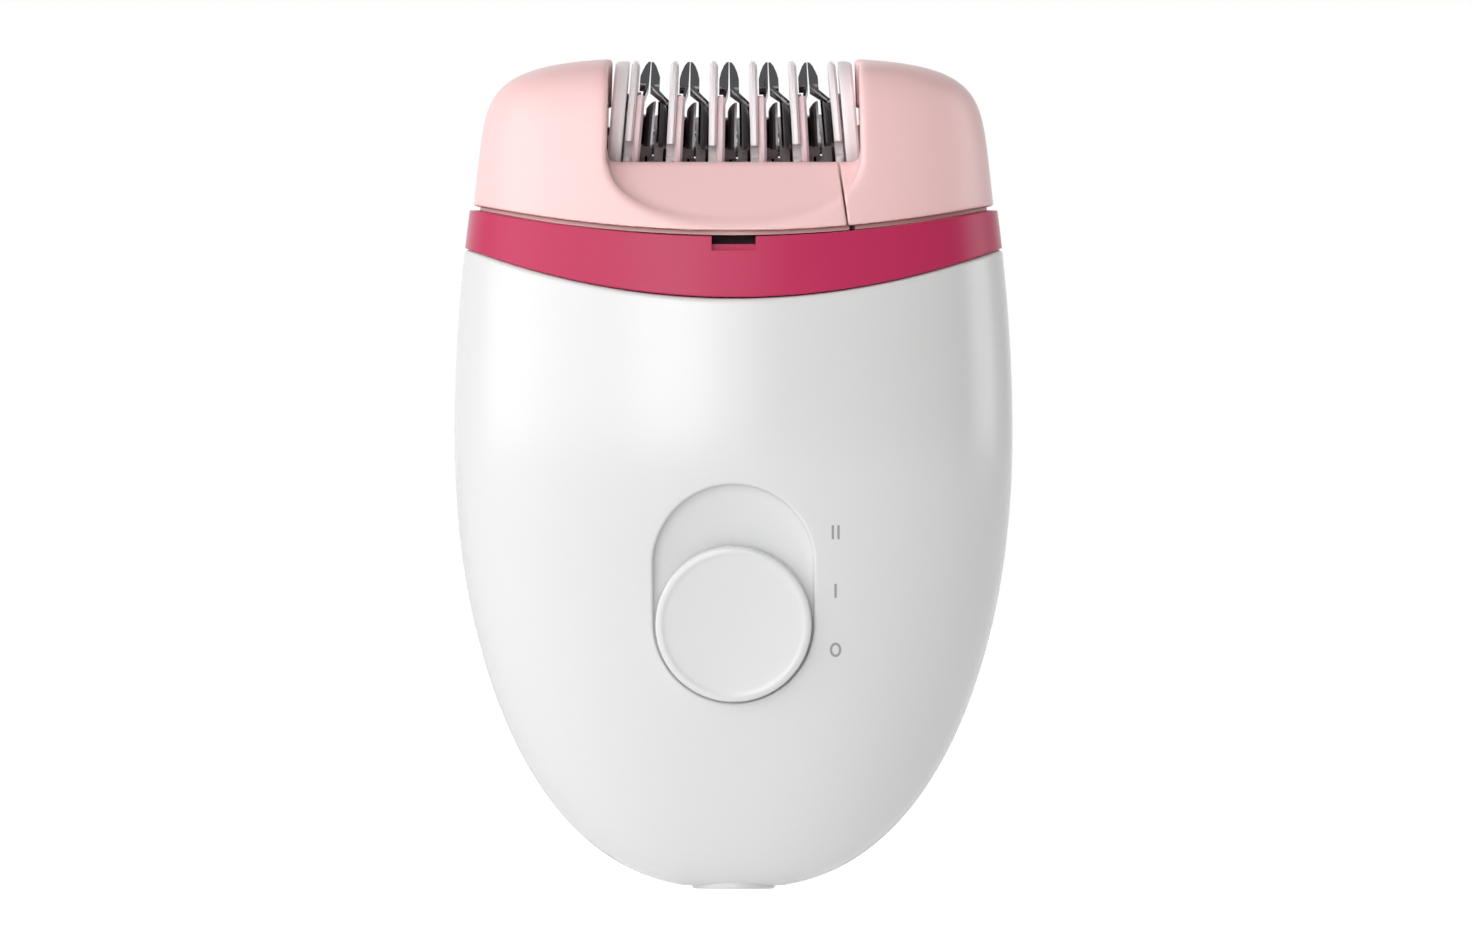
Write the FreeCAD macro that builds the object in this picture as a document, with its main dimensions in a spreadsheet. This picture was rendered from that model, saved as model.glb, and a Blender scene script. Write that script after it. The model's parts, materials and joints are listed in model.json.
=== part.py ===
"""Corded epilator: an egg-shaped handle, a lift-off epilating head and a fan of tweezer discs on a bent axle.

Frame, in millimetres: +Z runs up the handle to the head, -Y is the front with the slide switch, +X is to the
right seen from the front. The origin is the centre of the underside, on the face round the power socket.
"""

import FreeCAD
import Part
import Sketcher
import math
import os

Vector = FreeCAD.Vector
Rotation = FreeCAD.Rotation
Placement = FreeCAD.Placement

SIZES = {
    # handle
    "handle_half_width": 35.0,
    "handle_half_depth": 22.0,
    "widest_height": 57.0,
    "egg_height_power": 2.05,
    "egg_width_power": 2.45,
    "section_power": 2.5,
    "upper_narrowing": 1.9,
    "upper_span": 28.0,
    "wall": 2.0,
    "foot_height": 0.4,
    "seam_gap": 0.12,
    "fit_gap": 0.1,
    # parting arcs, seen from the front: height at the middle and how much the ends rise
    "shell_arc_height": 74.0,
    "shell_arc_radius": 93.3,
    "collar_arc_height": 81.6,
    "collar_arc_radius": 160.0,
    "head_arc_height": 82.3,
    "band_notch_half_width": 2.75,
    "band_notch_drop": 1.7,
    "band_ledge_height": 0.7,
    "band_ledge_depth": 2.6,
    # screws and the posts they go into
    "screw_radius": 0.9,
    "screw_head_radius": 1.9,
    "screw_head_height": 1.1,
    "screw_slot_depth": 0.6,
    "pilot_radius": 0.92,
    "screw_hole_radius": 0.98,
    "screw_x": 26.5,
    "deck_screw_y": 7.5,
    "deck_screw_length": 7.0,
    "deck_post_radius": 2.1,
    "deck_post_length": 9.0,
    "deck_rib_half_width": 0.7,
    "deck_rib_drop": 2.2,
    "head_screw_y": 6.0,
    "head_screw_length": 5.5,
    "head_post_radius": 2.0,
    "head_pilot_length": 4.5,
    "head_post_lift": 1.75,
    "head_screw_seat_drop": 0.2,
    "head_screw_well_radius": 2.2,
    "motor_screw_offset": 8.0,
    "fusing_overlap": 0.2,
    # latches of the lift-off head
    "latch_depth": 14.0,
    "latch_half_width": 6.0,
    "latch_thickness": 2.4,
    "latch_foot": 77.4,
    "latch_top": 83.6,
    "latch_clearance": 0.15,
    # top deck under the head
    "deck_height": 78.2,
    "deck_thickness": 1.5,
    "deck_slot_half_depth": 13.8,
    # head casing
    "head_base_height": 82.0,
    "head_top_height": 104.2,
    "head_half_width": 33.0,
    "head_half_depth": 20.0,
    "head_side_slope": 0.11,
    "head_face_slope": 0.30,
    "head_corner_power": 8.0,
    "head_round_power": 4.0,
    "head_wall": 2.0,
    "rim_inset": 0.9,
    "rim_drop": 0.55,
    "frame_rise": 1.6,
    "seam_x": 13.1,
    "seam_lean": 7.9,
    "drain_notch_x": 14.4,
    "drain_notch_width": 0.7,
    "drain_notch_back": 15.0,
    "axle_hole_radius": 5.4,
    # posts that hold the ends of the axle
    "post_half_depth": 5.0,
    "post_foot": 82.5,
    "post_rise": 4.0,
    "post_thickness": 1.6,
    "left_post_x": -19.4,
    # disc bay
    "bay_radius": 12.0,
    "bay_half_width": 17.0,
    "mouth_half_width": 15.6,
    "mouth_top_half_width": 15.15,
    "mouth_relief_height": 98.0,
    "mouth_height": 91.0,
    "liner": 1.5,
    "scoop_drop": 8.2,
    "scoop_lip_depth": 12.7,
    "scoop_slope": 39.5,
    "tray_wall": 0.9,
    # bent axle and the wheels on it
    "axle_height": 93.2,
    "bend_radius": 150.0,
    "wheel_angle": 2.0,
    "axle_end_angle": 6.0,
    "axle_end_bend": 6.0,
    "axle_radius": 1.5,
    "axle_clearance": 0.06,
    "row_angle": 13.0,
    "fin_radius": 10.6,
    "fin_thickness": 1.0,
    "fin_root_radius": 7.4,
    "fin_gap_angle": 12.0,
    "hub_radius": 3.5,
    "hub_half_length": 2.1,
    "dog_length": 0.8,
    "dog_radius": 2.6,
    "dog_angle": 60.0,
    "spacer_thickness": 0.45,
    "spacer_lobe_thickness": 1.0,
    "spacer_ring_radius": 6.2,
    "spacer_lobe_radius": 10.0,
    "spacer_lobe_angle": 60.0,
    "blade_thickness": 0.35,
    "blade_ring_radius": 5.2,
    "blade_angle": 34.0,
    "pad_root_radius": 7.4,
    "pad_radius": 10.5,
    "pad_width": 1.15,
    "short_reach": 1.83,
    "long_reach": 2.96,
    "flange_width": 1.75,
    "flange_gap": 0.3,
    "clip_thickness": 0.6,
    "clip_width": 1.3,
    # gear train, module in millimetres
    "gear_module": 0.5,
    "drum_teeth": 24,
    "output_teeth": 52,
    "small_teeth": 16,
    "big_teeth": 32,
    "pinion_teeth": 14,
    "gear_plane": 19.0,
    "gear_width": 3.0,
    "gear_side_gap": 0.4,
    "drum_gear_height": 94.2,
    "big_gear_plane": 15.2,
    "big_gear_width": 2.8,
    "compound_offset": 7.0,
    "motor_offset": -3.5,
    "gear_axle_radius": 1.0,
    "gear_running_gap": 0.05,
    "drum_gear_boss_radius": 5.0,
    "drum_gear_boss_length": 1.9,
    "chassis_thickness": 1.5,
    "chassis_drop": 9.8,
    "motor_boss_radius": 4.6,
    # motor
    "motor_radius": 12.0,
    "motor_wall": 1.0,
    "motor_back": -17.0,
    "motor_front": 12.4,
    "motor_shaft_radius": 1.0,
    "armature_radius": 7.6,
    "motor_bush_radius": 2.6,
    "motor_bush_length": 2.8,
    "motor_edge_round": 0.8,
    "magnet_thickness": 2.9,
    "magnet_angle": 130.0,
    "motor_shaft_end": 18.4,
    "terminal_length": 3.2,
    "terminal_width": 2.4,
    "terminal_thickness": 0.5,
    "terminal_offset": 8.0,
    # slide switch
    "slide_height": 37.15,
    "slide_floor_depth": 19.3,
    "slide_tilt": 6.5,
    "slide_travel": 7.4,
    "recess_radius": 10.0,
    "recess_rounding": 0.35,
    "recess_floor_radius": 12.2,
    "recess_floor_back": 1.7,
    "recess_floor_front": 1.6,
    "stem_half_width": 1.4,
    "stem_half_height": 1.6,
    "stem_clearance": 0.15,
    "stem_length": 3.0,
    "knob_lift": 0.12,
    "knob_edge_round": 0.45,
    "knob_rim_width": 0.75,
    "knob_dish": 0.3,
    "knob_radius": 9.72,
    "knob_height": 2.3,
    "carriage_back": 3.2,
    "carriage_thickness": 1.35,
    "carriage_half_width": 6.0,
    "fork_reach": 2.5,
    "lever_size": 2.0,
    "lever_start": 4.0,
    "lever_reach": 3.2,
    "switch_case_front": 6.4,
    "switch_case_half_width": 4.0,
    "switch_case_half_height": 9.0,
    "board_depth": 11.0,
    "board_thickness": 1.6,
    # power socket
    "socket_radius": 5.2,
    "socket_bore_radius": 2.9,
    "socket_depth": 9.5,
    "socket_seat": 3.2,
    "socket_flange": 1.5,
    "socket_height": 11.5,
    "socket_pin_radius": 0.85,
    "socket_root_step": 0.35,
    "wire_radius": 0.6,
}

FAR = 60.0  # reach of the cutting tools, clear of the whole object
doc = FreeCAD.newDocument("epilator")
sheet = doc.addObject("Spreadsheet::Sheet", "Sizes")
for row, (alias, number) in enumerate(SIZES.items(), start=1):
    sheet.set(f"A{row}", alias)
    sheet.set(f"B{row}", str(number))
    sheet.setAlias(f"B{row}", alias)
doc.recompute()


class Size:
    """A number with the sheet expression that gives it, so that one formula sets and binds a dimension."""

    def __init__(self, text, value):
        self.text = text
        self.value = float(value)

    def __add__(self, other):
        other = as_size(other)
        return Size(f"({self.text} + {other.text})", self.value + other.value)

    def __sub__(self, other):
        other = as_size(other)
        return Size(f"({self.text} - {other.text})", self.value - other.value)

    def __mul__(self, other):
        other = as_size(other)
        return Size(f"({self.text} * {other.text})", self.value * other.value)

    def __truediv__(self, other):
        other = as_size(other)
        return Size(f"({self.text} / {other.text})", self.value / other.value)

    def __radd__(self, other):
        return as_size(other) + self

    def __rsub__(self, other):
        return as_size(other) - self

    def __rmul__(self, other):
        return as_size(other) * self

    def __neg__(self):
        return Size(f"(0 - {self.text})", -self.value)


def as_size(number):
    """A plain number as a Size."""
    return number if isinstance(number, Size) else Size(f"({number:.6g})", number)


def size(alias):
    """The named cell of the sheet."""
    return Size(f"Sizes.{alias}", getattr(sheet, alias))


def mm(alias):
    """The named cell's plain value."""
    return float(getattr(sheet, alias))


PIECES = []  # every object that is a node, in the order it was made


def keep(piece, name):
    """Labels a finished object as a node of the assembly."""
    piece.Label = name
    PIECES.append(piece)
    return piece


# ---------------------------------------------------------------- PartDesign helpers


def bind(thing, prop, number):
    """Sets a property from a Size and binds it to the sheet."""
    thing.setExpression(prop, as_size(number).text)


def new_body(name):
    """An empty PartDesign body."""
    body = doc.addObject("PartDesign::Body", name)
    body.Label = name
    return body


def sketch_on(body, role, offset=0.0):
    """A sketch on one of the body's own origin planes, moved along the plane's normal."""
    sketch = body.newObject("Sketcher::SketchObject", body.Name + "_sketch")
    plane = [f for f in body.Origin.OriginFeatures if f.Role == role][0]
    sketch.AttachmentSupport = [(plane, "")]
    sketch.MapMode = "FlatFace"
    bind(sketch, "AttachmentOffset.Base.z", offset)
    return sketch


def bind_point(sketch, geometry, corner, point):
    """Holds one corner of a line or circle at a bound place, measured from the sketch's origin."""
    for kind, number in (("DistanceX", point[0]), ("DistanceY", point[1])):
        number = as_size(number)
        index = sketch.addConstraint(Sketcher.Constraint(kind, -1, 1, geometry, corner, number.value))
        sketch.setExpression(f"Constraints[{index}]", number.text)


def outline(sketch, points):
    """A closed outline of straight lines through bound points."""
    points = [(as_size(u), as_size(v)) for u, v in points]
    spots = [Vector(u.value, v.value, 0) for u, v in points]
    first = sketch.GeometryCount
    count = len(spots)
    for i in range(count):
        sketch.addGeometry(Part.LineSegment(spots[i], spots[(i + 1) % count]), False)
    for i in range(count):
        after = (i + 1) % count
        sketch.addConstraint(Sketcher.Constraint("Coincident", first + i, 2, first + after, 1))
    for i in range(count):
        bind_point(sketch, first + i, 1, points[i])


def circle(sketch, centre, radius):
    """A circle with bound centre and radius."""
    centre = (as_size(centre[0]), as_size(centre[1]))
    radius = as_size(radius)
    spot = Vector(centre[0].value, centre[1].value, 0)
    geometry = sketch.addGeometry(Part.Circle(spot, Vector(0, 0, 1), radius.value), False)
    index = sketch.addConstraint(Sketcher.Constraint("Radius", geometry, radius.value))
    sketch.setExpression(f"Constraints[{index}]", radius.text)
    bind_point(sketch, geometry, 3, centre)


def rectangle(sketch, left, low, right, high):
    """A bound rectangle."""
    outline(sketch, [(left, low), (right, low), (right, high), (left, high)])


def pad(body, sketch, length, feature="PartDesign::Pad"):
    """Pads a sketch, or pockets it with feature PartDesign::Pocket, along the sketch's normal."""
    step = body.newObject(feature, body.Name + "_step")
    step.Profile = sketch
    bind(step, "Length", length)
    if feature == "PartDesign::Pocket":
        step.Reversed = True
    doc.recompute()
    return step


def pocket(body, sketch, length):
    """Cuts a sketch along its normal by a length."""
    return pad(body, sketch, length, "PartDesign::Pocket")


def turn(body, sketch, angle=360.0, axis="H_Axis"):
    """Turns a profile about the sketch's axis, evenly to both sides of the sketch plane."""
    step = body.newObject("PartDesign::Revolution", body.Name + "_turn")
    step.Profile = sketch
    step.ReferenceAxis = (sketch, [axis])
    step.Midplane = True
    bind(step, "Angle", angle)
    return step


def repeat_about_x(body, feature, count):
    """Repeats a feature evenly round the body's own X axis."""
    step = body.newObject("PartDesign::PolarPattern", body.Name + "_ring")
    step.Originals = [feature]
    axis = [f for f in body.Origin.OriginFeatures if f.Role == "X_Axis"][0]
    step.Axis = (axis, [""])
    step.Angle = 360.0
    bind(step, "Occurrences", count)
    body.Tip = step
    return step


def place(thing, x=0.0, y=0.0, z=0.0):
    """Puts an object at a bound place."""
    for letter, number in (("x", x), ("y", y), ("z", z)):
        bind(thing, f"Placement.Base.{letter}", number)
    return thing


def turned(name, profile, x=0.0, y=0.0, z=0.0, axis="H_Axis"):
    """A turned piece: the profile is (along, radius) about X for H_Axis, or (radius, up) about Z for V_Axis."""
    body = new_body(name)
    sketch = sketch_on(body, "XZ_Plane")
    outline(sketch, profile)
    turn(body, sketch, 360.0, axis)
    return place(body, x, y, z)


# ---------------------------------------------------------------- free-form casing


def egg_share(z, widest):
    """Share of the full width that the egg outline has at a height below its widest point."""
    rise = min(1.0, max(0.0, (mm("widest_height") - z) / widest))
    return (1.0 - rise ** mm("egg_height_power")) ** (1.0 / mm("egg_width_power"))


def handle_section(z, inset=0.0):
    """Half width and half depth of the handle at a height, moved in by inset."""
    width = mm("handle_half_width") - inset
    depth = mm("handle_half_depth") - inset
    if z < mm("widest_height"):
        share = egg_share(z, mm("widest_height") - inset)
        return width * share, depth * share
    fall = mm("upper_narrowing") * ((z - mm("widest_height")) / mm("upper_span")) ** 2
    return width - fall, depth - fall


def head_section(z, inset=0.0):
    """Half width and half depth of the head casing at a height, moved in by inset."""
    rise = z - mm("head_base_height")
    full = mm("head_top_height") - mm("head_base_height") - inset
    share = 1.0
    if rise > 0:
        bent = (rise / full) ** mm("head_corner_power")
        share = max(0.0, 1.0 - bent) ** (1.0 / mm("head_round_power"))
    width = mm("head_half_width") - inset - mm("head_side_slope") * rise
    depth = mm("head_half_depth") - inset - mm("head_face_slope") * rise
    return width * share, depth * share


def section_wire(half_width, half_depth, z):
    """A closed superellipse at a height, as a periodic spline."""
    count = 40
    bend = 2.0 / mm("section_power")
    points = []
    for i in range(count):
        turn_angle = 2.0 * math.pi * (i + 0.5) / count
        c = math.cos(turn_angle)
        s = math.sin(turn_angle)
        x = half_width * math.copysign(abs(c) ** bend, c)
        y = half_depth * math.copysign(abs(s) ** bend, s)
        points.append(Vector(x, y, z))
    curve = Part.BSplineCurve()
    curve.interpolate(points, PeriodicFlag=True)
    return Part.Wire([curve.toShape()])


def loft(section, heights, inset=0.0):
    """A smooth closed solid through the sections at these heights."""
    wires = [section_wire(*section(z, inset), z) for z in heights]
    return Part.makeLoft(wires, True, False)


def eased(low, high, count):
    """Heights from low to high, crowded towards low."""
    return [low + (high - low) * (1.0 - math.cos(0.5 * math.pi * i / count)) for i in range(count + 1)]


def handle_solid(inset=0.0):
    """The handle's full egg, up past its top."""
    foot = inset + mm("foot_height")
    steps = [0.25, 0.5, 0.75, 1.0]
    above = [mm("widest_height") + (head_arc_top() + 4.0 - mm("widest_height")) * k for k in steps]
    return loft(handle_section, eased(foot, mm("widest_height"), 11) + above, inset)


def head_arc_top():
    """Height of the head's lower edge at its sides."""
    return arc_height("head_arc_height", mm("head_half_width"))


def arc_height(alias, x):
    """Height of a parting arc at a distance from the middle."""
    radius = mm("shell_arc_radius") if alias == "shell_arc_height" else mm("collar_arc_radius")
    return mm(alias) + radius - math.sqrt(radius * radius - x * x)


def head_solid(inset=0.0):
    """The head casing's full outer form, from under its lower edge to its closed top."""
    low = mm("collar_arc_height") - 3.0
    top = mm("head_top_height") - inset
    corner = top - 7.0
    steps = 5
    straight = [low + (corner - low) * i / steps for i in range(steps)]
    rounded = [top - 0.02 - (top - 0.02 - corner) * (1.0 - math.sin(0.5 * math.pi * i / 8)) for i in range(9)]
    return loft(head_section, straight + rounded, inset)


def above_arc(alias, lift=0.0):
    """Everything above a parting arc, as a long cylinder across the front."""
    radius = mm("shell_arc_radius") if alias == "shell_arc_height" else mm("collar_arc_radius")
    centre = Vector(0, -FAR, mm(alias) + radius + lift)
    return Part.makeCylinder(radius, 2 * FAR, centre, Vector(0, 1, 0))


def block(low, high):
    """A box between two corners."""
    return Part.makeBox(high[0] - low[0], high[1] - low[1], high[2] - low[2], Vector(*low))


def feature(name, shape):
    """A node whose free-form shape is set directly."""
    piece = doc.addObject("Part::Feature", name)
    piece.Shape = shape
    return keep(piece, name)


def one_solid(shape):
    """The largest solid of a boolean's result."""
    return max(shape.Solids, key=lambda solid: solid.Volume)


def slide_placement():
    """The slide switch's own frame: Z along the travel, -Y out of the front face."""
    spot = Vector(0, -mm("slide_floor_depth"), mm("slide_height"))
    return Placement(spot, Rotation(Vector(1, 0, 0), mm("slide_tilt")))


def stadium(radius, half_travel, inner, outer):
    """A stadium prism in the slide's frame, from depth inner to outer along -Y, in the handle's frame."""
    tube = Part.makeBox(2 * radius, outer - inner, 2 * half_travel, Vector(-radius, -outer, -half_travel))
    for end in (-half_travel, half_travel):
        tube = tube.fuse(Part.makeCylinder(radius, outer - inner, Vector(0, -inner, end), Vector(0, -1, 0)))
    tube = tube.removeSplitter()
    tube.Placement = slide_placement()
    return tube


def rounded_edges(shape, radius, chosen):
    """The shape with its chosen edges rounded, or as it was if the kernel can't round them."""
    edges = [edge for edge in shape.Edges if chosen(edge)]
    if not edges:
        return shape
    try:
        result = shape.makeFillet(radius, edges)
    except Exception:
        print("not rounded", radius, len(edges))
        return shape
    if not result.isValid() or len(result.Solids) != 1:
        print("rounding was not valid", radius, len(edges))
        return shape
    return result


def socket_seat():
    """The stepped hole that the two shells close round the socket."""
    clearance = 0.5 * mm("fit_gap")
    below = 2.0
    hole = Part.makeCylinder(mm("socket_radius") + clearance, mm("socket_seat") + below, Vector(0, 0, -below))
    flange = mm("socket_radius") + mm("socket_flange") + clearance
    seat = Part.makeCylinder(flange, mm("socket_height"), Vector(0, 0, mm("socket_seat") - clearance))
    return hole.fuse(seat)


CORNERS = [(side_x, side_y) for side_x in (-1, 1) for side_y in (-1, 1)]
DECK_SCREWS = [(side_x * mm("screw_x"), side_y * mm("deck_screw_y")) for side_x, side_y in CORNERS]


def deck_bosses():
    """Four screw bosses under the deck, each on a rib from its shell's wall."""
    top = mm("deck_height")
    foot = top - mm("deck_post_length")
    rib_top = top - mm("deck_rib_drop")
    rib_half = mm("deck_rib_half_width")
    inner = handle_solid(mm("wall") - mm("fusing_overlap"))
    posts = []
    for x, y in DECK_SCREWS:
        post = Part.makeCylinder(mm("deck_post_radius"), mm("deck_post_length"), Vector(x, y, foot))
        low_y, high_y = sorted((y, math.copysign(FAR, y)))
        rib = block((x - rib_half, low_y, foot), (x + rib_half, high_y, rib_top))
        pilot_length = mm("deck_screw_length")
        pilot = Part.makeCylinder(mm("pilot_radius"), pilot_length, Vector(x, y, top - pilot_length))
        posts.append(post.fuse(rib).common(inner).cut(pilot))
    return posts[0].fuse(posts[1:])


def make_shells():
    """The two white handle shells, the collar band and the deck that closes the handle under the head."""
    outer = handle_solid()
    inner = handle_solid(mm("wall"))
    skin = outer.cut(inner)
    below = skin.cut(above_arc("shell_arc_height", -mm("seam_gap")))
    half_travel = 0.5 * mm("slide_travel")
    floor_back, floor_front = -mm("recess_floor_back"), mm("recess_floor_front")
    floor = stadium(mm("recess_floor_radius"), half_travel, floor_back, floor_front).common(outer)
    recess = stadium(mm("recess_radius"), half_travel, 0.0, FAR)
    slot_x = mm("stem_half_width") + mm("stem_clearance")
    slot_z = half_travel + mm("stem_half_height") + mm("stem_clearance")
    stem_slot = block((-slot_x, -1.0, -slot_z), (slot_x, 2 * mm("wall"), slot_z))
    stem_slot.Placement = slide_placement()
    socket_hole = socket_seat()
    gap = 0.5 * mm("seam_gap")
    below = below.fuse(deck_bosses())
    front = below.common(block((-FAR, -FAR, -1.0), (FAR, -gap, 2 * FAR))).fuse(floor)
    front = front.cut(recess).cut(stem_slot).cut(socket_hole)
    front = one_solid(front.removeSplitter())
    rear = below.common(block((-FAR, gap, -1.0), (FAR, FAR, 2 * FAR))).cut(socket_hole)
    slide = slide_placement()

    def on_recess_rim(edge):
        spots = [slide.inverse().multVec(v) for v in edge.discretize(5)]
        depth = [-p.y for p in spots]
        off = [math.hypot(p.x, max(0.0, abs(p.z) - half_travel)) - mm("recess_radius") for p in spots]
        return max(abs(d) for d in off) < 0.05 and min(depth) > mm("recess_rounding")

    front = rounded_edges(front, mm("recess_rounding"), on_recess_rim)
    feature("front_shell", front)
    feature("rear_shell", one_solid(rear))
    band = skin.common(above_arc("shell_arc_height")).cut(above_arc("collar_arc_height"))
    notch_low = mm("collar_arc_height") - mm("band_notch_drop")
    notch_half = mm("band_notch_half_width")
    ledge_top = notch_low + mm("band_ledge_height")
    ledge_back = mm("band_ledge_depth") - mm("handle_half_depth")
    notch = block((-notch_half, -FAR, ledge_top), (notch_half, -mm("latch_depth"), 2 * FAR))
    ledge = block((-notch_half, -FAR, notch_low), (notch_half, ledge_back, 2 * FAR))
    band = one_solid(band.cut(notch).cut(ledge))
    feature("collar_band", band)
    deck_low = mm("deck_height")
    deck_high = deck_low + mm("deck_thickness")
    deck = handle_solid(mm("wall") + 0.05).common(block((-FAR, -FAR, deck_low), (FAR, FAR, deck_high)))
    gear_left = mm("gear_plane") - mm("gear_side_gap")
    gear_right = mm("gear_plane") + mm("gear_width") + mm("gear_side_gap")
    slot_depth = mm("deck_slot_half_depth")
    deck = deck.cut(block((gear_left, -slot_depth, 0.0), (gear_right, slot_depth, 2 * FAR)))
    latch_x = mm("latch_half_width") + mm("latch_clearance")
    latch_y = 0.5 * mm("latch_thickness") + mm("latch_clearance")
    for side in (-1, 1):
        centre = side * mm("latch_depth")
        deck = deck.cut(block((-latch_x, centre - latch_y, 0.0), (latch_x, centre + latch_y, 2 * FAR)))
    for x, y in DECK_SCREWS:
        deck = deck.cut(Part.makeCylinder(mm("screw_hole_radius"), 2 * FAR, Vector(x, y, 0.0)))
    feature("top_deck", one_solid(deck))


def scoop_prism(grow=0.0):
    """The well in front of the mouth, whose lower edge is half an ellipse."""
    half = mm("mouth_half_width") + grow
    drop = mm("scoop_drop") + grow
    centre = Vector(0, 0, mm("mouth_height"))
    curve = Part.Ellipse(centre + Vector(half, 0, 0), centre - Vector(0, 0, drop), centre)
    return Part.Face(Part.Wire([curve.toShape()])).extrude(Vector(0, -FAR, 0))


def scoop_cutter(grow=0.0):
    """The scoop's cutting tool for the front face: the well, kept in front of the sloping floor."""
    floor = Part.makeBox(4 * FAR, FAR, 4 * FAR, Vector(-2 * FAR, -FAR, -2 * FAR))
    tilt = Rotation(Vector(1, 0, 0), -mm("scoop_slope"))
    floor.Placement = Placement(Vector(0, -mm("scoop_lip_depth") + grow, mm("mouth_height")), tilt)
    return scoop_prism(grow).common(floor)


def mirrored_y(shape):
    """The shape and its mirror image behind the XZ plane, as one tool."""
    return shape.fuse(shape.mirror(Vector(0, 0, 0), Vector(0, 1, 0)))


def mouth_tool():
    """The opening across the head above the scoops, a little narrower at its top."""
    low = mm("mouth_height")
    high = mm("head_top_height")
    low_half = mm("mouth_half_width")
    high_half = mm("mouth_top_half_width")
    above = high_half - (low_half - high_half) * 6.0 / (high - low)
    corners = [(-low_half, low), (low_half, low), (above, high + 6.0), (-above, high + 6.0), (-low_half, low)]
    outline_wire = Part.makePolygon([Vector(x, -FAR, z) for x, z in corners])
    return Part.Face(outline_wire).extrude(Vector(0, 2 * FAR, 0))


def bay_tool():
    """The space that the tweezer wheels turn in, open at the top, front and back."""
    centre = Vector(-mm("bay_half_width"), 0, mm("axle_height"))
    round_bay = Part.makeCylinder(mm("bay_radius"), 2 * mm("bay_half_width"), centre, Vector(1, 0, 0))
    wide = mm("bay_half_width") + 1.0
    round_bay = round_bay.common(block((-wide, -FAR, 0.0), (wide, FAR, mm("mouth_relief_height"))))
    return round_bay.fuse(mouth_tool())


def seam_halfspace(lift=0.0):
    """Everything to the right of the head's slanted seam."""
    tool = Part.makeBox(2 * FAR, 4 * FAR, 4 * FAR, Vector(0, -2 * FAR, -2 * FAR))
    spot = Vector(mm("seam_x") + lift, 0, mm("mouth_height"))
    tool.Placement = Placement(spot, Rotation(Vector(0, 1, 0), mm("seam_lean")))
    return tool


def make_head_casing():
    """The pink head cover, its right-hand cover and the frame that carries the axle."""
    outer = head_solid().common(above_arc("head_arc_height"))
    inner = head_solid(mm("head_wall"))
    bay = bay_tool()
    scoops = mirrored_y(scoop_cutter())
    liner = mm("liner")
    beyond = mm("bay_half_width") + liner
    side_pockets = inner.cut(block((-beyond, -FAR, 0.0), (beyond, FAR, 2 * FAR)))
    thick_bay = Part.makeCylinder(
        mm("bay_radius") + liner, 2 * FAR, Vector(-FAR, 0, mm("axle_height")), Vector(1, 0, 0)
    )
    span = mm("bay_half_width")
    under = inner.common(block((-span, -FAR, 0.0), (span, FAR, mm("mouth_height") - liner)))
    under = under.cut(thick_bay).cut(mirrored_y(scoop_cutter(liner)))
    left_end = Vector(-FAR, 0, mm("drum_gear_height"))
    axle_hole = Part.makeCylinder(mm("axle_hole_radius"), 2 * FAR, left_end, Vector(1, 0, 0))
    axle_hole = axle_hole.common(block((-beyond - 1, -FAR, 0), (beyond + 1, FAR, 2 * FAR)))
    casing = outer.cut(bay).cut(scoops).cut(side_pockets).cut(under).cut(axle_hole)
    casing = casing.fuse(head_bosses(head_solid(mm("head_wall") - mm("fusing_overlap"))))
    cover = one_solid(casing.cut(seam_halfspace(-mm("seam_gap"))))
    side = one_solid(casing.common(seam_halfspace(mm("seam_gap"))))
    feature("head_cover", cover)
    feature("head_side_cover", side)
    make_head_frame(bay)


HEAD_SCREWS = [(side_x * mm("screw_x"), side_y * mm("head_screw_y")) for side_x, side_y in CORNERS]


def head_bosses(within):
    """Four screw bosses that stand down from the head's roof to the frame."""
    foot = arc_height("head_arc_height", mm("screw_x")) + mm("head_post_lift")
    posts = []
    for x, y in HEAD_SCREWS:
        start = Vector(x, y, foot)
        post = Part.makeCylinder(mm("head_post_radius"), 2 * FAR, start).common(within)
        posts.append(post.cut(Part.makeCylinder(mm("pilot_radius"), mm("head_pilot_length"), start)))
    return posts[0].fuse(posts[1:])


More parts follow.
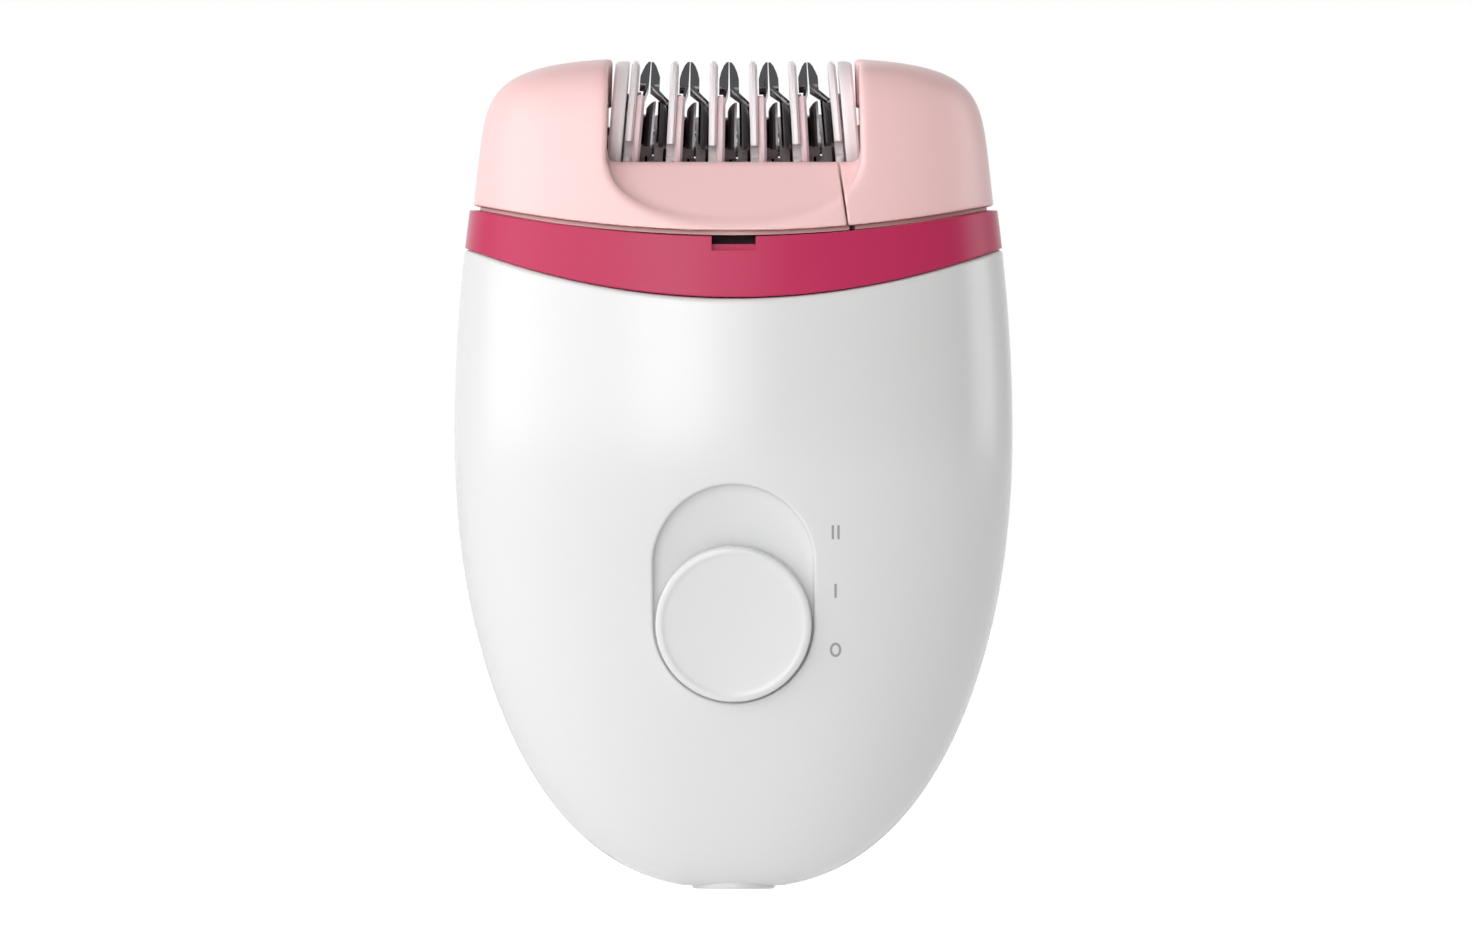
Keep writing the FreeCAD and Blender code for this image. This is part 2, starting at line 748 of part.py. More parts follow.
def make_head_frame(bay):
    """One moulding: the rim under the cover, the tray below the wheels and two posts that hold the axle."""
    low = -mm("rim_drop")
    gap = mm("fit_gap")
    rim = head_solid(mm("rim_inset")).common(above_arc("head_arc_height", low))
    rim = rim.cut(above_arc("head_arc_height", -0.5 * gap))
    base = head_solid(mm("head_wall") + gap).common(above_arc("head_arc_height", low))
    base = base.cut(above_arc("head_arc_height", mm("frame_rise")))
    base = base.fuse(rim)
    centre = Vector(gap - mm("bay_half_width"), 0, mm("axle_height"))
    length = 2 * (mm("bay_half_width") - gap)
    tray_out = Part.makeCylinder(mm("bay_radius") + mm("tray_wall"), length, centre, Vector(1, 0, 0))
    tray_in = Part.makeCylinder(mm("bay_radius"), length, centre, Vector(1, 0, 0))
    tray_top = arc_height("head_arc_height", mm("bay_half_width")) + 0.5
    tray_out = tray_out.common(block((-FAR, -FAR, 0.0), (FAR, FAR, tray_top)))
    frame = base.fuse(tray_out).cut(tray_in)
    gear_left = mm("gear_plane") - mm("gear_side_gap")
    gear_right = mm("gear_plane") + mm("gear_width") + mm("gear_side_gap")
    slot_depth = mm("bay_radius")
    frame = frame.cut(block((gear_left, -slot_depth, 0.0), (gear_right, slot_depth, 2 * FAR)))
    for side in (-1, 1):
        frame = frame.fuse(post(side))
        middle = side * mm("latch_depth")
        low_corner = (-mm("latch_half_width"), middle - 0.5 * mm("latch_thickness"), mm("latch_foot"))
        high_corner = (mm("latch_half_width"), middle + 0.5 * mm("latch_thickness"), mm("latch_top"))
        frame = frame.fuse(block(low_corner, high_corner))
    left_end = Vector(-FAR, 0, mm("drum_gear_height"))
    hole = Part.makeCylinder(mm("axle_radius"), 2 * FAR, left_end, Vector(1, 0, 0))
    frame = frame.cut(hole).cut(seam_notch())
    for x, y in HEAD_SCREWS:
        frame = frame.cut(Part.makeCylinder(mm("screw_hole_radius"), FAR, Vector(x, y, mm("deck_height"))))
        foot = arc_height("head_arc_height", x) - mm("head_screw_seat_drop")
        frame = frame.cut(Part.makeCylinder(mm("head_screw_well_radius"), FAR, Vector(x, y, foot - FAR)))
    casing_walls = [piece for piece in PIECES if piece.Label in ("head_cover", "head_side_cover")]
    for wall in casing_walls:
        frame = frame.cut(wall.Shape)
    feature("head_frame", one_solid(frame))


def post_left(side):
    """The left face of an axle post: outside the drum gear on the right, outside the bay on the left."""
    if side < 0:
        return mm("left_post_x") - mm("post_thickness")
    return mm("gear_plane") + mm("gear_width") + 1.5 * mm("gear_side_gap")


def post(side):
    """One of the two posts that hold the ends of the axle."""
    left = post_left(side)
    half = mm("post_half_depth")
    top = mm("drum_gear_height") + mm("post_rise")
    return block((left, -half, mm("post_foot")), (left + mm("post_thickness"), half, top))


def seam_notch():
    """The small drain notch in the rim beside the seam."""
    left = mm("drain_notch_x")
    return block((left, -FAR, 0.0), (left + mm("drain_notch_width"), -mm("drain_notch_back"), 2 * FAR))


# ---------------------------------------------------------------- wheels on the bent axle


def wheel_turn(k):
    """Angle of wheel k along the bent axle, in degrees, from the middle."""
    return (k - 2.5) * mm("wheel_angle")


def wheel_placement(k):
    """Where wheel k sits: turned about the line where all the wheels' planes meet, high above the axle."""
    meet = Vector(0, 0, mm("axle_height") + mm("bend_radius"))
    turned_by = Rotation(Vector(0, 1, 0), -wheel_turn(k))
    return Placement(meet + turned_by.multVec(Vector(0, 0, -mm("bend_radius"))), turned_by)


def level_rise(angle, radius):
    """How far a rim of this radius would stand too high at an angle along the axle's arc."""
    share = 1.0 - math.cos(math.radians(angle))
    return (size("bend_radius") - size(radius)) * share


def make_wheel(k):
    """The moulded fin and hub of wheel k, with driving dogs at both ends of the hub."""
    name = f"fin_wheel_{k + 1}"
    body = new_body(name)
    half = size("fin_thickness") / 2
    bore = size("axle_radius") + size("axle_clearance")
    hub_end = size("hub_half_length")
    root = size("fin_root_radius")
    profile = [
        (-hub_end, bore),
        (hub_end, bore),
        (hub_end, size("hub_radius")),
        (half, size("hub_radius")),
        (half, root),
        (-half, root),
        (-half, size("hub_radius")),
        (-hub_end, size("hub_radius")),
    ]
    sketch = sketch_on(body, "XZ_Plane")
    outline(sketch, profile)
    turn(body, sketch)
    tip = size("fin_radius") - level_rise(wheel_turn(k), "fin_radius")
    lobe = [
        (-half, root - 0.5),
        (half, root - 0.5),
        (half, tip - 0.5),
        (half - 0.3, tip),
        (0.3 - half, tip),
        (-half, tip - 0.5),
    ]
    lobes(body, lobe, 90.0 - size("fin_gap_angle"), 38.0, 4)
    dog = size("dog_length")
    inner = bore + 0.35
    for end, first in ((1, 0.0), (-1, 90.0)):
        if k == 0 and end == -1:
            continue
        tooth = [
            (end * (hub_end - 0.2), inner),
            (end * (hub_end + dog), inner),
            (end * (hub_end + dog), size("dog_radius") + 0.8),
            (end * (hub_end - 0.2), size("dog_radius") + 0.8),
        ]
        lobes(body, tooth, size("dog_angle"), first, 2)
    if k in (0, 5):
        side = -1 if k == 0 else 1
        add_flange(body, side, tip - 0.15)
    body.Placement = wheel_placement(k)
    keep(body, name)


def lobes(body, profile, angle, first, count):
    """Evenly spaced sectors of a turned profile; the first one's middle is first degrees above the front."""
    sketch = sketch_on(body, "XZ_Plane")
    outline(sketch, profile)
    step = turn(body, sketch, angle)
    lean = Rotation(Vector(1, 0, 0), 90.0 - first)
    plane = Rotation(Vector(1, 0, 0), 90.0)
    sketch.AttachmentOffset = Placement(Vector(0, 0, 0), plane.inverted() * lean * plane)
    doc.recompute()
    repeat_about_x(body, step, count)


def add_flange(body, side, rim):
    """The thick ring outside an end wheel, set off from its fin by a narrow groove."""
    near = side * (size("fin_thickness") / 2 + size("flange_gap"))
    far = near + side * size("flange_width")
    profile = [
        (side * 0.1, size("hub_radius") - 0.3),
        (far, size("hub_radius") - 0.3),
        (far, rim - 0.5),
        (far - side * 0.3, rim - 0.15),
        (near + side * 0.6, rim),
        (near + side * 0.15, rim),
        (near, rim - 0.15),
        (near, size("fin_root_radius") - 1.5),
        (side * 0.1, size("fin_root_radius") - 1.5),
    ]
    sketch = sketch_on(body, "XZ_Plane")
    outline(sketch, profile)
    turn(body, sketch)


def make_blade_disc(k, side):
    """A steel disc beside wheel k: a ring with four bent arms that end in rounded pinching pads."""
    name = f"tweezer_disc_{k + 1}_{'right' if side > 0 else 'left'}"
    body = new_body(name)
    sheet_thick = size("blade_thickness")
    inner = size("fin_thickness") / 2 + 0.05
    if side > 0:
        inner = inner + size("spacer_thickness")
    face = inner + sheet_thick
    ring = [
        (side * inner, size("hub_radius") + 0.02),
        (side * face, size("hub_radius") + 0.02),
        (side * face, size("blade_ring_radius")),
        (side * inner, size("blade_ring_radius")),
    ]
    sketch = sketch_on(body, "XZ_Plane")
    outline(sketch, ring)
    turn(body, sketch)
    pinch_angle = wheel_turn(k + 0.5 * side)
    tip = size("pad_radius") - level_rise(pinch_angle, "pad_radius")
    rows = [(size("short_reach"), 0.0), (size("long_reach"), 90.0)]
    if side < 0:
        rows = [(size("long_reach"), 0.0), (size("short_reach"), 90.0)]
    for reach, shift in rows:
        back = reach - size("pad_width")
        root = size("pad_root_radius")
        ring_edge = size("blade_ring_radius")
        arm = [
            (side * inner, ring_edge - 0.4),
            (side * face, ring_edge - 0.4),
            (side * face, ring_edge + 0.2),
            (side * reach, root - 0.2),
            (side * reach, tip),
            (side * (reach - 0.28), tip - 0.04),
            (side * (reach - 0.62), tip - 0.5),
            (side * (reach - 0.95), tip - 1.3),
            (side * back, root + 0.9),
            (side * back, root),
            (side * (reach - sheet_thick), root),
            (side * inner, ring_edge + 0.2),
        ]
        lobes(body, arm, size("blade_angle"), mm("row_angle") + 90.0 - shift, 2)
    body.Placement = wheel_placement(k)
    keep(body, name)


def make_spacer(k):
    """The pink disc between wheel k and its right steel disc: a thin ring with two thick rounded lobes."""
    name = f"spacer_disc_{k + 1}"
    body = new_body(name)
    left = size("fin_thickness") / 2 + 0.02
    right = left + size("spacer_thickness") - 0.02
    ring = [
        (left, size("hub_radius") + 0.02),
        (right, size("hub_radius") + 0.02),
        (right, size("spacer_ring_radius")),
        (left, size("spacer_ring_radius")),
    ]
    sketch = sketch_on(body, "XZ_Plane")
    outline(sketch, ring)
    turn(body, sketch)
    lobe_right = left + size("spacer_lobe_thickness")
    tip = size("spacer_lobe_radius") - level_rise(wheel_turn(k + 0.3), "spacer_lobe_radius")
    lobe = [
        (left, size("spacer_ring_radius") - 0.4),
        (right, size("spacer_ring_radius") - 0.4),
        (right, size("pad_root_radius") + 0.1),
        (lobe_right, size("pad_root_radius") + 0.6),
        (lobe_right, tip - 0.35),
        (lobe_right - 0.3, tip),
        (left + 0.3, tip),
        (left, tip - 0.35),
    ]
    lobes(body, lobe, size("spacer_lobe_angle"), mm("row_angle") - 6.0, 2)
    body.Placement = wheel_placement(k)
    keep(body, name)


def rounded_path(points, radii):
    """A wire of straight runs joined by tangent arcs of the given radii."""
    edges = []
    start = points[0]
    for i, radius in enumerate(radii, start=1):
        corner = points[i]
        before = (points[i - 1] - corner).normalize()
        after = (points[i + 1] - corner).normalize()
        half_turn = 0.5 * (math.pi - before.getAngle(after))
        reach = radius * math.tan(half_turn)
        first = corner + before * reach
        last = corner + after * reach
        inward = (before + after).normalize()
        middle = corner + inward * (radius / math.cos(half_turn) - radius)
        edges.append(Part.LineSegment(start, first).toShape())
        edges.append(Part.Arc(first, middle, last).toShape())
        start = last
    edges.append(Part.LineSegment(start, points[-1]).toShape())
    return Part.Wire(edges)


def tube(points, radii, radius):
    """A round bar or wire along a rounded path, checked against its section times its length."""
    path = rounded_path(points, radii)
    direction = points[1] - points[0]
    ring = Part.Wire([Part.Circle(points[0], direction, radius).toShape()])
    solid = path.makePipeShell([ring], True, True)
    expected = math.pi * radius * radius * path.Length
    if abs(solid.Volume - expected) > 0.02 * expected:
        raise ValueError(f"tube volume {solid.Volume:.1f} is not {expected:.1f}")
    return solid


def make_disc_axle():
    """The fixed steel axle: bent to the wheels' arc in the middle, level at both ends."""
    bend = mm("bend_radius")
    half_turn = math.radians(mm("axle_end_angle"))
    end = Vector(bend * math.sin(half_turn), 0, mm("axle_height") + bend * (1 - math.cos(half_turn)))
    middle = Vector(0, 0, mm("axle_height"))
    level = mm("drum_gear_height")
    slope = math.tan(half_turn)
    corner = Vector(end.x + (level - end.z) / slope, 0, level)
    tip = mm("gear_plane") + mm("gear_width") + 3.2
    ease = mm("axle_end_bend")
    reach = ease * math.tan(0.5 * half_turn)
    edges = []
    for side in (-1, 1):
        near = Vector(side * end.x, 0, end.z)
        knee = Vector(side * corner.x, 0, corner.z)
        out = Vector(side * (corner.x + reach), 0, level)
        into = knee + (near - knee).normalize() * reach
        inward = ((near - knee).normalize() + Vector(side, 0, 0)).normalize()
        bow = knee + inward * (ease / math.cos(0.5 * half_turn) - ease)
        far = Vector(side * tip, 0, level)
        run = [Part.LineSegment(near, into).toShape()]
        run.append(Part.Arc(into, bow, out).toShape())
        run.append(Part.LineSegment(out, far).toShape())
        edges += run
    edges.append(Part.Arc(Vector(-end.x, 0, end.z), middle, Vector(end.x, 0, end.z)).toShape())
    path = Part.Wire(Part.__sortEdges__(edges))
    start = Vector(-tip, 0, level)
    ring = Part.Wire([Part.Circle(start, Vector(1, 0, 0), mm("axle_radius")).toShape()])
    feature("disc_axle", path.makePipeShell([ring], True, True))


# ---------------------------------------------------------------- gears


def add_teeth(body, teeth, width, start):
    """Straight-flanked teeth round a gear, wide at the root and narrow at the tip, with running backlash."""
    module = size("gear_module")
    pitch_radius = module * size(teeth) / 2
    root = pitch_radius - module * 1.35
    tip = pitch_radius + module * 0.9
    foot = module * math.pi * 0.26
    crest = module * math.pi * 0.09
    sketch = sketch_on(body, "YZ_Plane", start)
    outline(sketch, [(-foot, root), (foot, root), (crest, tip), (-crest, tip)])
    tooth = pad(body, sketch, width)
    repeat_about_x(body, tooth, size(teeth))


def gear_blank(teeth):
    """Radius of a gear's body under its teeth."""
    return size("gear_module") * size(teeth) / 2 - size("gear_module") * 1.25


def gear_disc(body, radius, bore, width, start):
    """A bored disc of a gear."""
    sketch = sketch_on(body, "YZ_Plane", start)
    circle(sketch, (0.0, 0.0), radius)
    circle(sketch, (0.0, 0.0), bore)
    return pad(body, sketch, width)


def phase(body, degrees):
    """Turns a gear about its own X axis, so that its teeth mesh with its neighbour's gaps."""
    spot = body.Placement.Base
    body.Placement = Placement(spot, Rotation(Vector(1, 0, 0), degrees))


def gear_centres():
    """Centres of the output gear, the compound gear and the motor, as (y, z)."""
    half_module = 0.5 * mm("gear_module")
    output_z = mm("drum_gear_height") - half_module * (mm("drum_teeth") + mm("output_teeth"))
    reach = half_module * (mm("output_teeth") + mm("small_teeth"))
    compound_y = mm("compound_offset")
    compound_z = output_z - math.sqrt(reach**2 - compound_y**2)
    reach = half_module * (mm("big_teeth") + mm("pinion_teeth"))
    motor_y = mm("motor_offset")
    motor_z = compound_z + math.sqrt(reach**2 - (motor_y - compound_y) ** 2)
    return (0.0, output_z), (compound_y, compound_z), (motor_y, motor_z)


def angle_towards(start, end):
    """Angle of the line between two (y, z) centres, in degrees, from +Y towards +Z."""
    return math.degrees(math.atan2(end[1] - start[1], end[0] - start[0]))


def meshing_phase(own, other, own_teeth, other_teeth, other_phase):
    """Turn of a gear that puts one of its gaps opposite a tooth of its neighbour. Each gear's first tooth is on +Z."""
    to_own = angle_towards(other, own)
    tooth_offset = (to_own - 90.0 - other_phase) / (360.0 / other_teeth)
    share = tooth_offset - round(tooth_offset)
    facing = angle_towards(own, other)
    own_step = 360.0 / own_teeth
    return facing - 90.0 + own_step * (0.5 + share)


def make_gears():
    """Drum gear in the head, and the output, compound and motor gears in the handle."""
    output, compound, motor = gear_centres()
    drum = (0.0, mm("drum_gear_height"))
    bore = size("gear_axle_radius") + size("gear_running_gap")
    drum_bore = size("axle_radius") + size("axle_clearance")
    boss = size("drum_gear_boss_length")
    body = new_body("drum_gear")
    gear_disc(body, gear_blank("drum_teeth"), drum_bore, size("gear_width"), size("gear_plane"))
    gear_disc(body, size("drum_gear_boss_radius"), drum_bore, boss + 0.2, size("gear_plane") - boss)
    add_teeth(body, "drum_teeth", size("gear_width"), size("gear_plane"))
    place(body, z=size("drum_gear_height"))
    keep(body, "drum_gear")
    phases = {"drum": 0.0}
    phases["output"] = meshing_phase(output, drum, mm("output_teeth"), mm("drum_teeth"), phases["drum"])
    body = new_body("output_gear")
    gear_disc(body, gear_blank("output_teeth"), bore, size("gear_width"), size("gear_plane"))
    add_teeth(body, "output_teeth", size("gear_width"), size("gear_plane"))
    body.Placement.Base = Vector(0, output[0], output[1])
    phase(body, phases["output"])
    keep(body, "output_gear")
    phases["small"] = meshing_phase(compound, output, mm("small_teeth"), mm("output_teeth"), phases["output"])
    body = new_body("compound_gear")
    big_end = size("big_gear_plane") + size("big_gear_width")
    gear_disc(body, gear_blank("big_teeth"), bore, size("big_gear_width"), size("big_gear_plane"))
    add_teeth(body, "big_teeth", size("big_gear_width"), size("big_gear_plane"))
    length = size("gear_plane") + size("gear_width") - big_end
    gear_disc(body, gear_blank("small_teeth"), bore, length + 0.2, big_end - 0.2)
    add_teeth(body, "small_teeth", length, big_end)
    body.Placement.Base = Vector(0, compound[0], compound[1])
    phase(body, phases["small"])
    keep(body, "compound_gear")
    phases["pinion"] = meshing_phase(motor, compound, mm("pinion_teeth"), mm("big_teeth"), phases["small"])
    body = new_body("motor_pinion")
    start = size("big_gear_plane") - 0.2
    gear_disc(body, gear_blank("pinion_teeth"), size("motor_shaft_radius"), size("big_gear_width") + 0.4, start)
    add_teeth(body, "pinion_teeth", size("big_gear_width") + 0.4, start)
    body.Placement.Base = Vector(0, motor[0], motor[1])
    phase(body, phases["pinion"])
    keep(body, "motor_pinion")


# ---------------------------------------------------------------- motor and chassis


def make_motor():
    """A round can motor lying across the handle, with its magnets, armature, shaft and bushings."""
    motor = gear_centres()[2]
    y, z = motor
    back = size("motor_back")
    front = size("motor_front")
    radius = size("motor_radius")
    wall = size("motor_wall")
    shaft = size("motor_shaft_radius")
    bush = size("motor_bush_radius")
    bevel = size("motor_edge_round")
    can = [
        (back, radius - wall),
        (back, radius),
        (front - bevel, radius),
        (front, radius - bevel),
        (front, bush),
        (front - wall, bush),
        (front - wall, radius - wall),
    ]
    housing = turned("motor_can", can, y=y, z=z)
    for side in (-1, 1):
        drill = sketch_on(housing, "YZ_Plane", front - wall - 0.5)
        circle(drill, (side * size("motor_screw_offset"), 0.0), size("pilot_radius"))
        pocket(housing, drill, 3.0)
    keep(housing, "motor_can")
    cap = [
        (back - 2 * bevel, bush),
        (back - 2 * bevel, radius - bevel - 0.2),
        (back - bevel, radius - 0.2),
        (back, radius - 0.2),
        (back, radius - wall),
        (back + 2 * bevel, radius - wall - 0.02),
        (back + 2 * bevel, bush),
    ]
    keep(turned("motor_end_cap", cap, y=y, z=z), "motor_end_cap")
    bushes = []
    half = 0.5 * size("motor_bush_length")
    for label, middle in (("a", back - 0.3), ("b", front)):
        ring = [
            (middle - half, shaft + 0.03),
            (middle + half, shaft + 0.03),
            (middle + half, bush),
            (middle - half, bush),
        ]
        bushes.append(turned("bush_" + label, ring, y=y, z=z))
    group("motor_bushings", bushes)
    magnets = []
    for label, first in (("upper", 90.0), ("lower", 270.0)):
        body = new_body("magnet_" + label)
        inner = radius - wall - size("magnet_thickness")
        arc = [
            (back + 5.0, inner),
            (front - 4.0, inner),
            (front - 4.0, radius - wall - 0.02),
            (back + 5.0, radius - wall - 0.02),
        ]
        sketch = sketch_on(body, "XZ_Plane")
        outline(sketch, arc)
        turn(body, sketch, size("magnet_angle"))
        body.Placement = Placement(Vector(0, y, z), Rotation(Vector(1, 0, 0), first - 90.0))
        magnets.append(body)
    group("motor_magnets", magnets)
    core = [
        (back + 6.0, shaft),
        (front - 5.0, shaft),
        (front - 5.0, size("armature_radius")),
        (back + 6.0, size("armature_radius")),
    ]
    keep(turned("motor_armature", core, y=y, z=z), "motor_armature")
    tip = size("motor_shaft_end")
    rod = [(back - 3.0, 0.0), (back - 3.0, shaft), (tip, shaft), (tip, 0.0)]
    keep(turned("motor_shaft", rod, y=y, z=z), "motor_shaft")
    tabs = []
    for side in (-1, 1):
        tab = doc.addObject("Part::Box", "terminal")
        bind(tab, "Length", size("terminal_length"))
        bind(tab, "Width", size("terminal_width"))
        bind(tab, "Height", size("terminal_thickness"))
        start = back - 2 * bevel - size("terminal_length")
        low = z + side * size("terminal_offset") - 0.5 * size("terminal_thickness")
        place(tab, start, y - 0.5 * size("terminal_width"), low)
        tabs.append(tab)
    group("motor_terminals", tabs)


def group(name, members):
    """Several separate solids that share one node."""
    compound = doc.addObject("Part::Compound", name)
    compound.Links = members
    return keep(compound, name)


def make_chassis():
    """The moulded frame beside the motor: two plates with a bridge, which hold both gear axles."""
    output, compound, motor = gear_centres()
    body = new_body("gear_chassis")
    inner = mm("motor_front")
    outer = mm("gear_plane") + mm("gear_width") + 3 * mm("fit_gap")
    thick = mm("chassis_thickness")
    low = compound[1] - mm("chassis_drop")
    high = mm("deck_height")
    shape = [
        (-13.5, low + 6.0),
        (-9.0, low),
        (14.0, low),
        (15.6, low + 5.0),
        (15.6, compound[1] + 9.0),
        (12.0, high),
        (-12.0, high),
        (-13.5, high - 4.0),
    ]
    outer_shape = [(u * 0.9, v) for u, v in shape]
    for start, points in ((inner, shape), (outer, outer_shape)):
        sketch = sketch_on(body, "YZ_Plane", start)
        outline(sketch, points)
        pad(body, sketch, thick)
        if start == inner:
            bridge = sketch_on(body, "YZ_Plane", inner + 0.5)
            rectangle(bridge, -8.0, low, 12.6, low + 1.0)
            pad(body, bridge, outer - inner + 0.5)
    holes = sketch_on(body, "YZ_Plane", inner - 1.0)
    circle(holes, output, size("gear_axle_radius"))
    circle(holes, compound, size("gear_axle_radius"))
    pocket(body, holes, 15.0)
    boss = sketch_on(body, "YZ_Plane", inner - 1.0)
    circle(boss, motor, size("motor_boss_radius"))
    pocket(body, boss, 5.0)
    for side in (-1, 1):
        drill = sketch_on(body, "YZ_Plane", inner - 1.0)
        circle(drill, (motor[0] + side * mm("motor_screw_offset"), motor[1]), size("screw_hole_radius"))
        pocket(body, drill, 4.0)
    keep(body, "gear_chassis")
    for name, centre in (("output_axle", output), ("compound_axle", compound)):
        pin = doc.addObject("Part::Cylinder", name)
        bind(pin, "Radius", size("gear_axle_radius"))
        bind(pin, "Height", outer + thick - inner)
        pin.Placement = Placement(Vector(inner, centre[0], centre[1]), Rotation(Vector(0, 1, 0), 90))
        keep(pin, name)
    outward = Rotation(Vector(0, 1, 0), 90)
    screws = []
    for side in (-1, 1):
        spot = Vector(inner + thick, motor[0] + side * mm("motor_screw_offset"), motor[1])
        screws.append(screw("motor_screw", spot, outward, size("motor_wall") + thick - 0.1))
    group("motor_screws", screws)


def make_screws():
    """Screws down through the deck into the shells, and up through the frame into the head's covers."""
    deck_top = mm("deck_height") + mm("deck_thickness")
    members = []
    for x, y in DECK_SCREWS:
        members.append(screw("deck_screw", Vector(x, y, deck_top), Rotation(), size("deck_screw_length")))
    group("deck_screws", members)
    upside_down = Rotation(Vector(1, 0, 0), 180)
    members = []
    for x, y in HEAD_SCREWS:
        seat = arc_height("head_arc_height", x) - mm("head_screw_seat_drop")
        members.append(screw("head_screw", Vector(x, y, seat), upside_down, size("head_screw_length")))
    group("head_screws", members)


def make_axle_clips():
    """Two retaining rings on the bent axle's ends, outside its posts."""
    bore = size("axle_radius")
    clips = []
    thick = mm("clip_thickness")
    gap = mm("fit_gap")
    for low in (post_left(-1) - gap - thick, post_left(1) + mm("post_thickness") + gap):
        rim = bore + size("clip_width")
        ring = [(low, bore), (low + thick, bore), (low + thick, rim), (low, rim)]
        clips.append(turned("axle_clip", ring, z=size("drum_gear_height")))
    group("axle_clips", clips)


def screw(name, spot, rotation, length):
    """A small pan-head screw: its head stands along the rotated +Z from spot, its shank the other way."""
    body = new_body(name)
    sketch = sketch_on(body, "XZ_Plane")
    shank = size("screw_radius")
    rim = size("screw_head_radius")
    high = size("screw_head_height")
    well = high - size("screw_slot_depth")
    well_radius = shank - 0.4
    profile = [
        (0.0, -length),
        (shank, -length),
        (shank, 0.0),
        (rim, 0.0),
        (rim - 0.2, high - 0.2),
        (well_radius, high),
        (well_radius, well),
        (0.0, well),
    ]
    outline(sketch, profile)
    turn(body, sketch, 360.0, "V_Axis")
    body.Placement = Placement(spot, rotation)
    return body


# ---------------------------------------------------------------- slide switch, board and socket


def slide_piece(body, name, along=0.0):
    """Places a piece in the slide's frame, moved along the travel, and keeps it."""
    frame = slide_placement()
    shift = frame.Rotation.multVec(Vector(0, 0, along))
    body.Placement = Placement(frame.Base + shift, frame.Rotation)
    return keep(body, name)


def make_switch():
    """The round thumb slide with its stem, the carriage behind it, and the electrical switch on the board."""
    rest = -0.5 * mm("slide_travel")
    top = size("knob_height")
    edge = size("knob_radius")
    body = new_body("slide_knob")
    sketch = sketch_on(body, "XY_Plane")
    foot = size("knob_lift")
    rim = edge - size("knob_rim_width")
    dish = top - size("knob_dish")
    bevel = size("knob_edge_round")
    profile = [
        (0.0, -foot),
        (0.0, -dish),
        (rim - 0.55, 0.12 - top),
        (rim, -top),
        (edge - 0.4, -top),
        (edge, bevel - top),
        (edge, -foot),
    ]
    outline(sketch, profile)
    turn(body, sketch, 360.0, "V_Axis")
    half_x = size("stem_half_width")
    half_z = size("stem_half_height")
    stem = sketch_on(body, "XZ_Plane", -size("stem_length"))
    rectangle(stem, -half_x, -half_z, half_x, half_z)
    pad(body, stem, size("stem_length") + 0.3)
    slide_piece(body, "slide_knob", rest)
    carriage = new_body("slide_carriage")
    plate_back = size("carriage_back")
    sketch = sketch_on(carriage, "XZ_Plane", -plate_back)
    rectangle(sketch, -size("carriage_half_width"), -5.0, size("carriage_half_width"), 5.0)
    rectangle(sketch, -half_x, -half_z, half_x, half_z)
    pad(carriage, sketch, size("carriage_thickness"))
    fork_reach = size("fork_reach")
    fork_half = 0.5 * fork_reach
    fork_inner = 0.5 * size("lever_size") + size("stem_clearance")
    for side in (-1, 1):
        fork = sketch_on(carriage, "XZ_Plane", -(plate_back + fork_reach - 0.1))
        rectangle(fork, -3.0, side * fork_inner, 3.0, side * (fork_inner + fork_half + 0.6))
        pad(carriage, fork, fork_reach)
    slide_piece(carriage, "slide_carriage", rest)
    lever = doc.addObject("Part::Box", "switch_lever")
    thick = size("lever_size")
    bind(lever, "Length", thick)
    bind(lever, "Width", size("lever_reach"))
    bind(lever, "Height", thick)
    frame = slide_placement()
    corner = Vector(-0.5 * mm("lever_size"), mm("lever_start"), rest - 0.5 * mm("lever_size"))
    lever.Placement = Placement(frame.Base + frame.Rotation.multVec(corner), frame.Rotation)
    keep(lever, "switch_lever")
    case = new_body("switch_case")
    front = size("switch_case_front")
    half_wide = size("switch_case_half_width")
    half_high = size("switch_case_half_height")
    sketch = sketch_on(case, "XZ_Plane", -size("board_depth"))
    rectangle(sketch, -half_wide, -half_high, half_wide, half_high)
    pad(case, sketch, size("board_depth") - front)
    slot = sketch_on(case, "XZ_Plane", -(front + 1.0))
    slot_half = 0.5 * size("lever_size") + 0.1
    rectangle(slot, -slot_half, rest - slot_half - 0.1, slot_half, slot_half + 0.1 - rest)
    pocket(case, slot, 2.0)
    slide_piece(case, "switch_case")
    board = new_body("circuit_board")
    sketch = sketch_on(board, "XZ_Plane", -(size("board_depth") + size("board_thickness")))
    outline(sketch, [(-8.0, -23.0), (8.0, -23.0), (13.0, -10.0), (13.0, 11.0), (-13.0, 11.0), (-13.0, -10.0)])
    pad(board, sketch, size("board_thickness"))
    slide_piece(board, "circuit_board")
    make_board_parts()


def make_board_parts():
    """Capacitor, two resistors and a diode standing on the board's front face."""
    frame = slide_placement()
    depth = mm("board_depth")
    parts = []
    can = doc.addObject("Part::Cylinder", "capacitor")
    bind(can, "Radius", 2.5)
    bind(can, "Height", 6.0)
    turn_out = frame.Rotation * Rotation(Vector(1, 0, 0), 90)
    can.Placement = Placement(frame.Base + frame.Rotation.multVec(Vector(-8.6, depth, -12.0 + 6.0)), turn_out)
    parts.append(can)
    for x, z in ((8.0, 2.0), (8.0, -5.0), (0.0, -15.0)):
        bar = doc.addObject("Part::Cylinder", "resistor")
        bind(bar, "Radius", 1.0)
        bind(bar, "Height", 5.0)
        bar.Placement = Placement(frame.Base + frame.Rotation.multVec(Vector(x, depth - 1.0, z)), frame.Rotation)
        parts.append(bar)
    group("board_parts", parts)


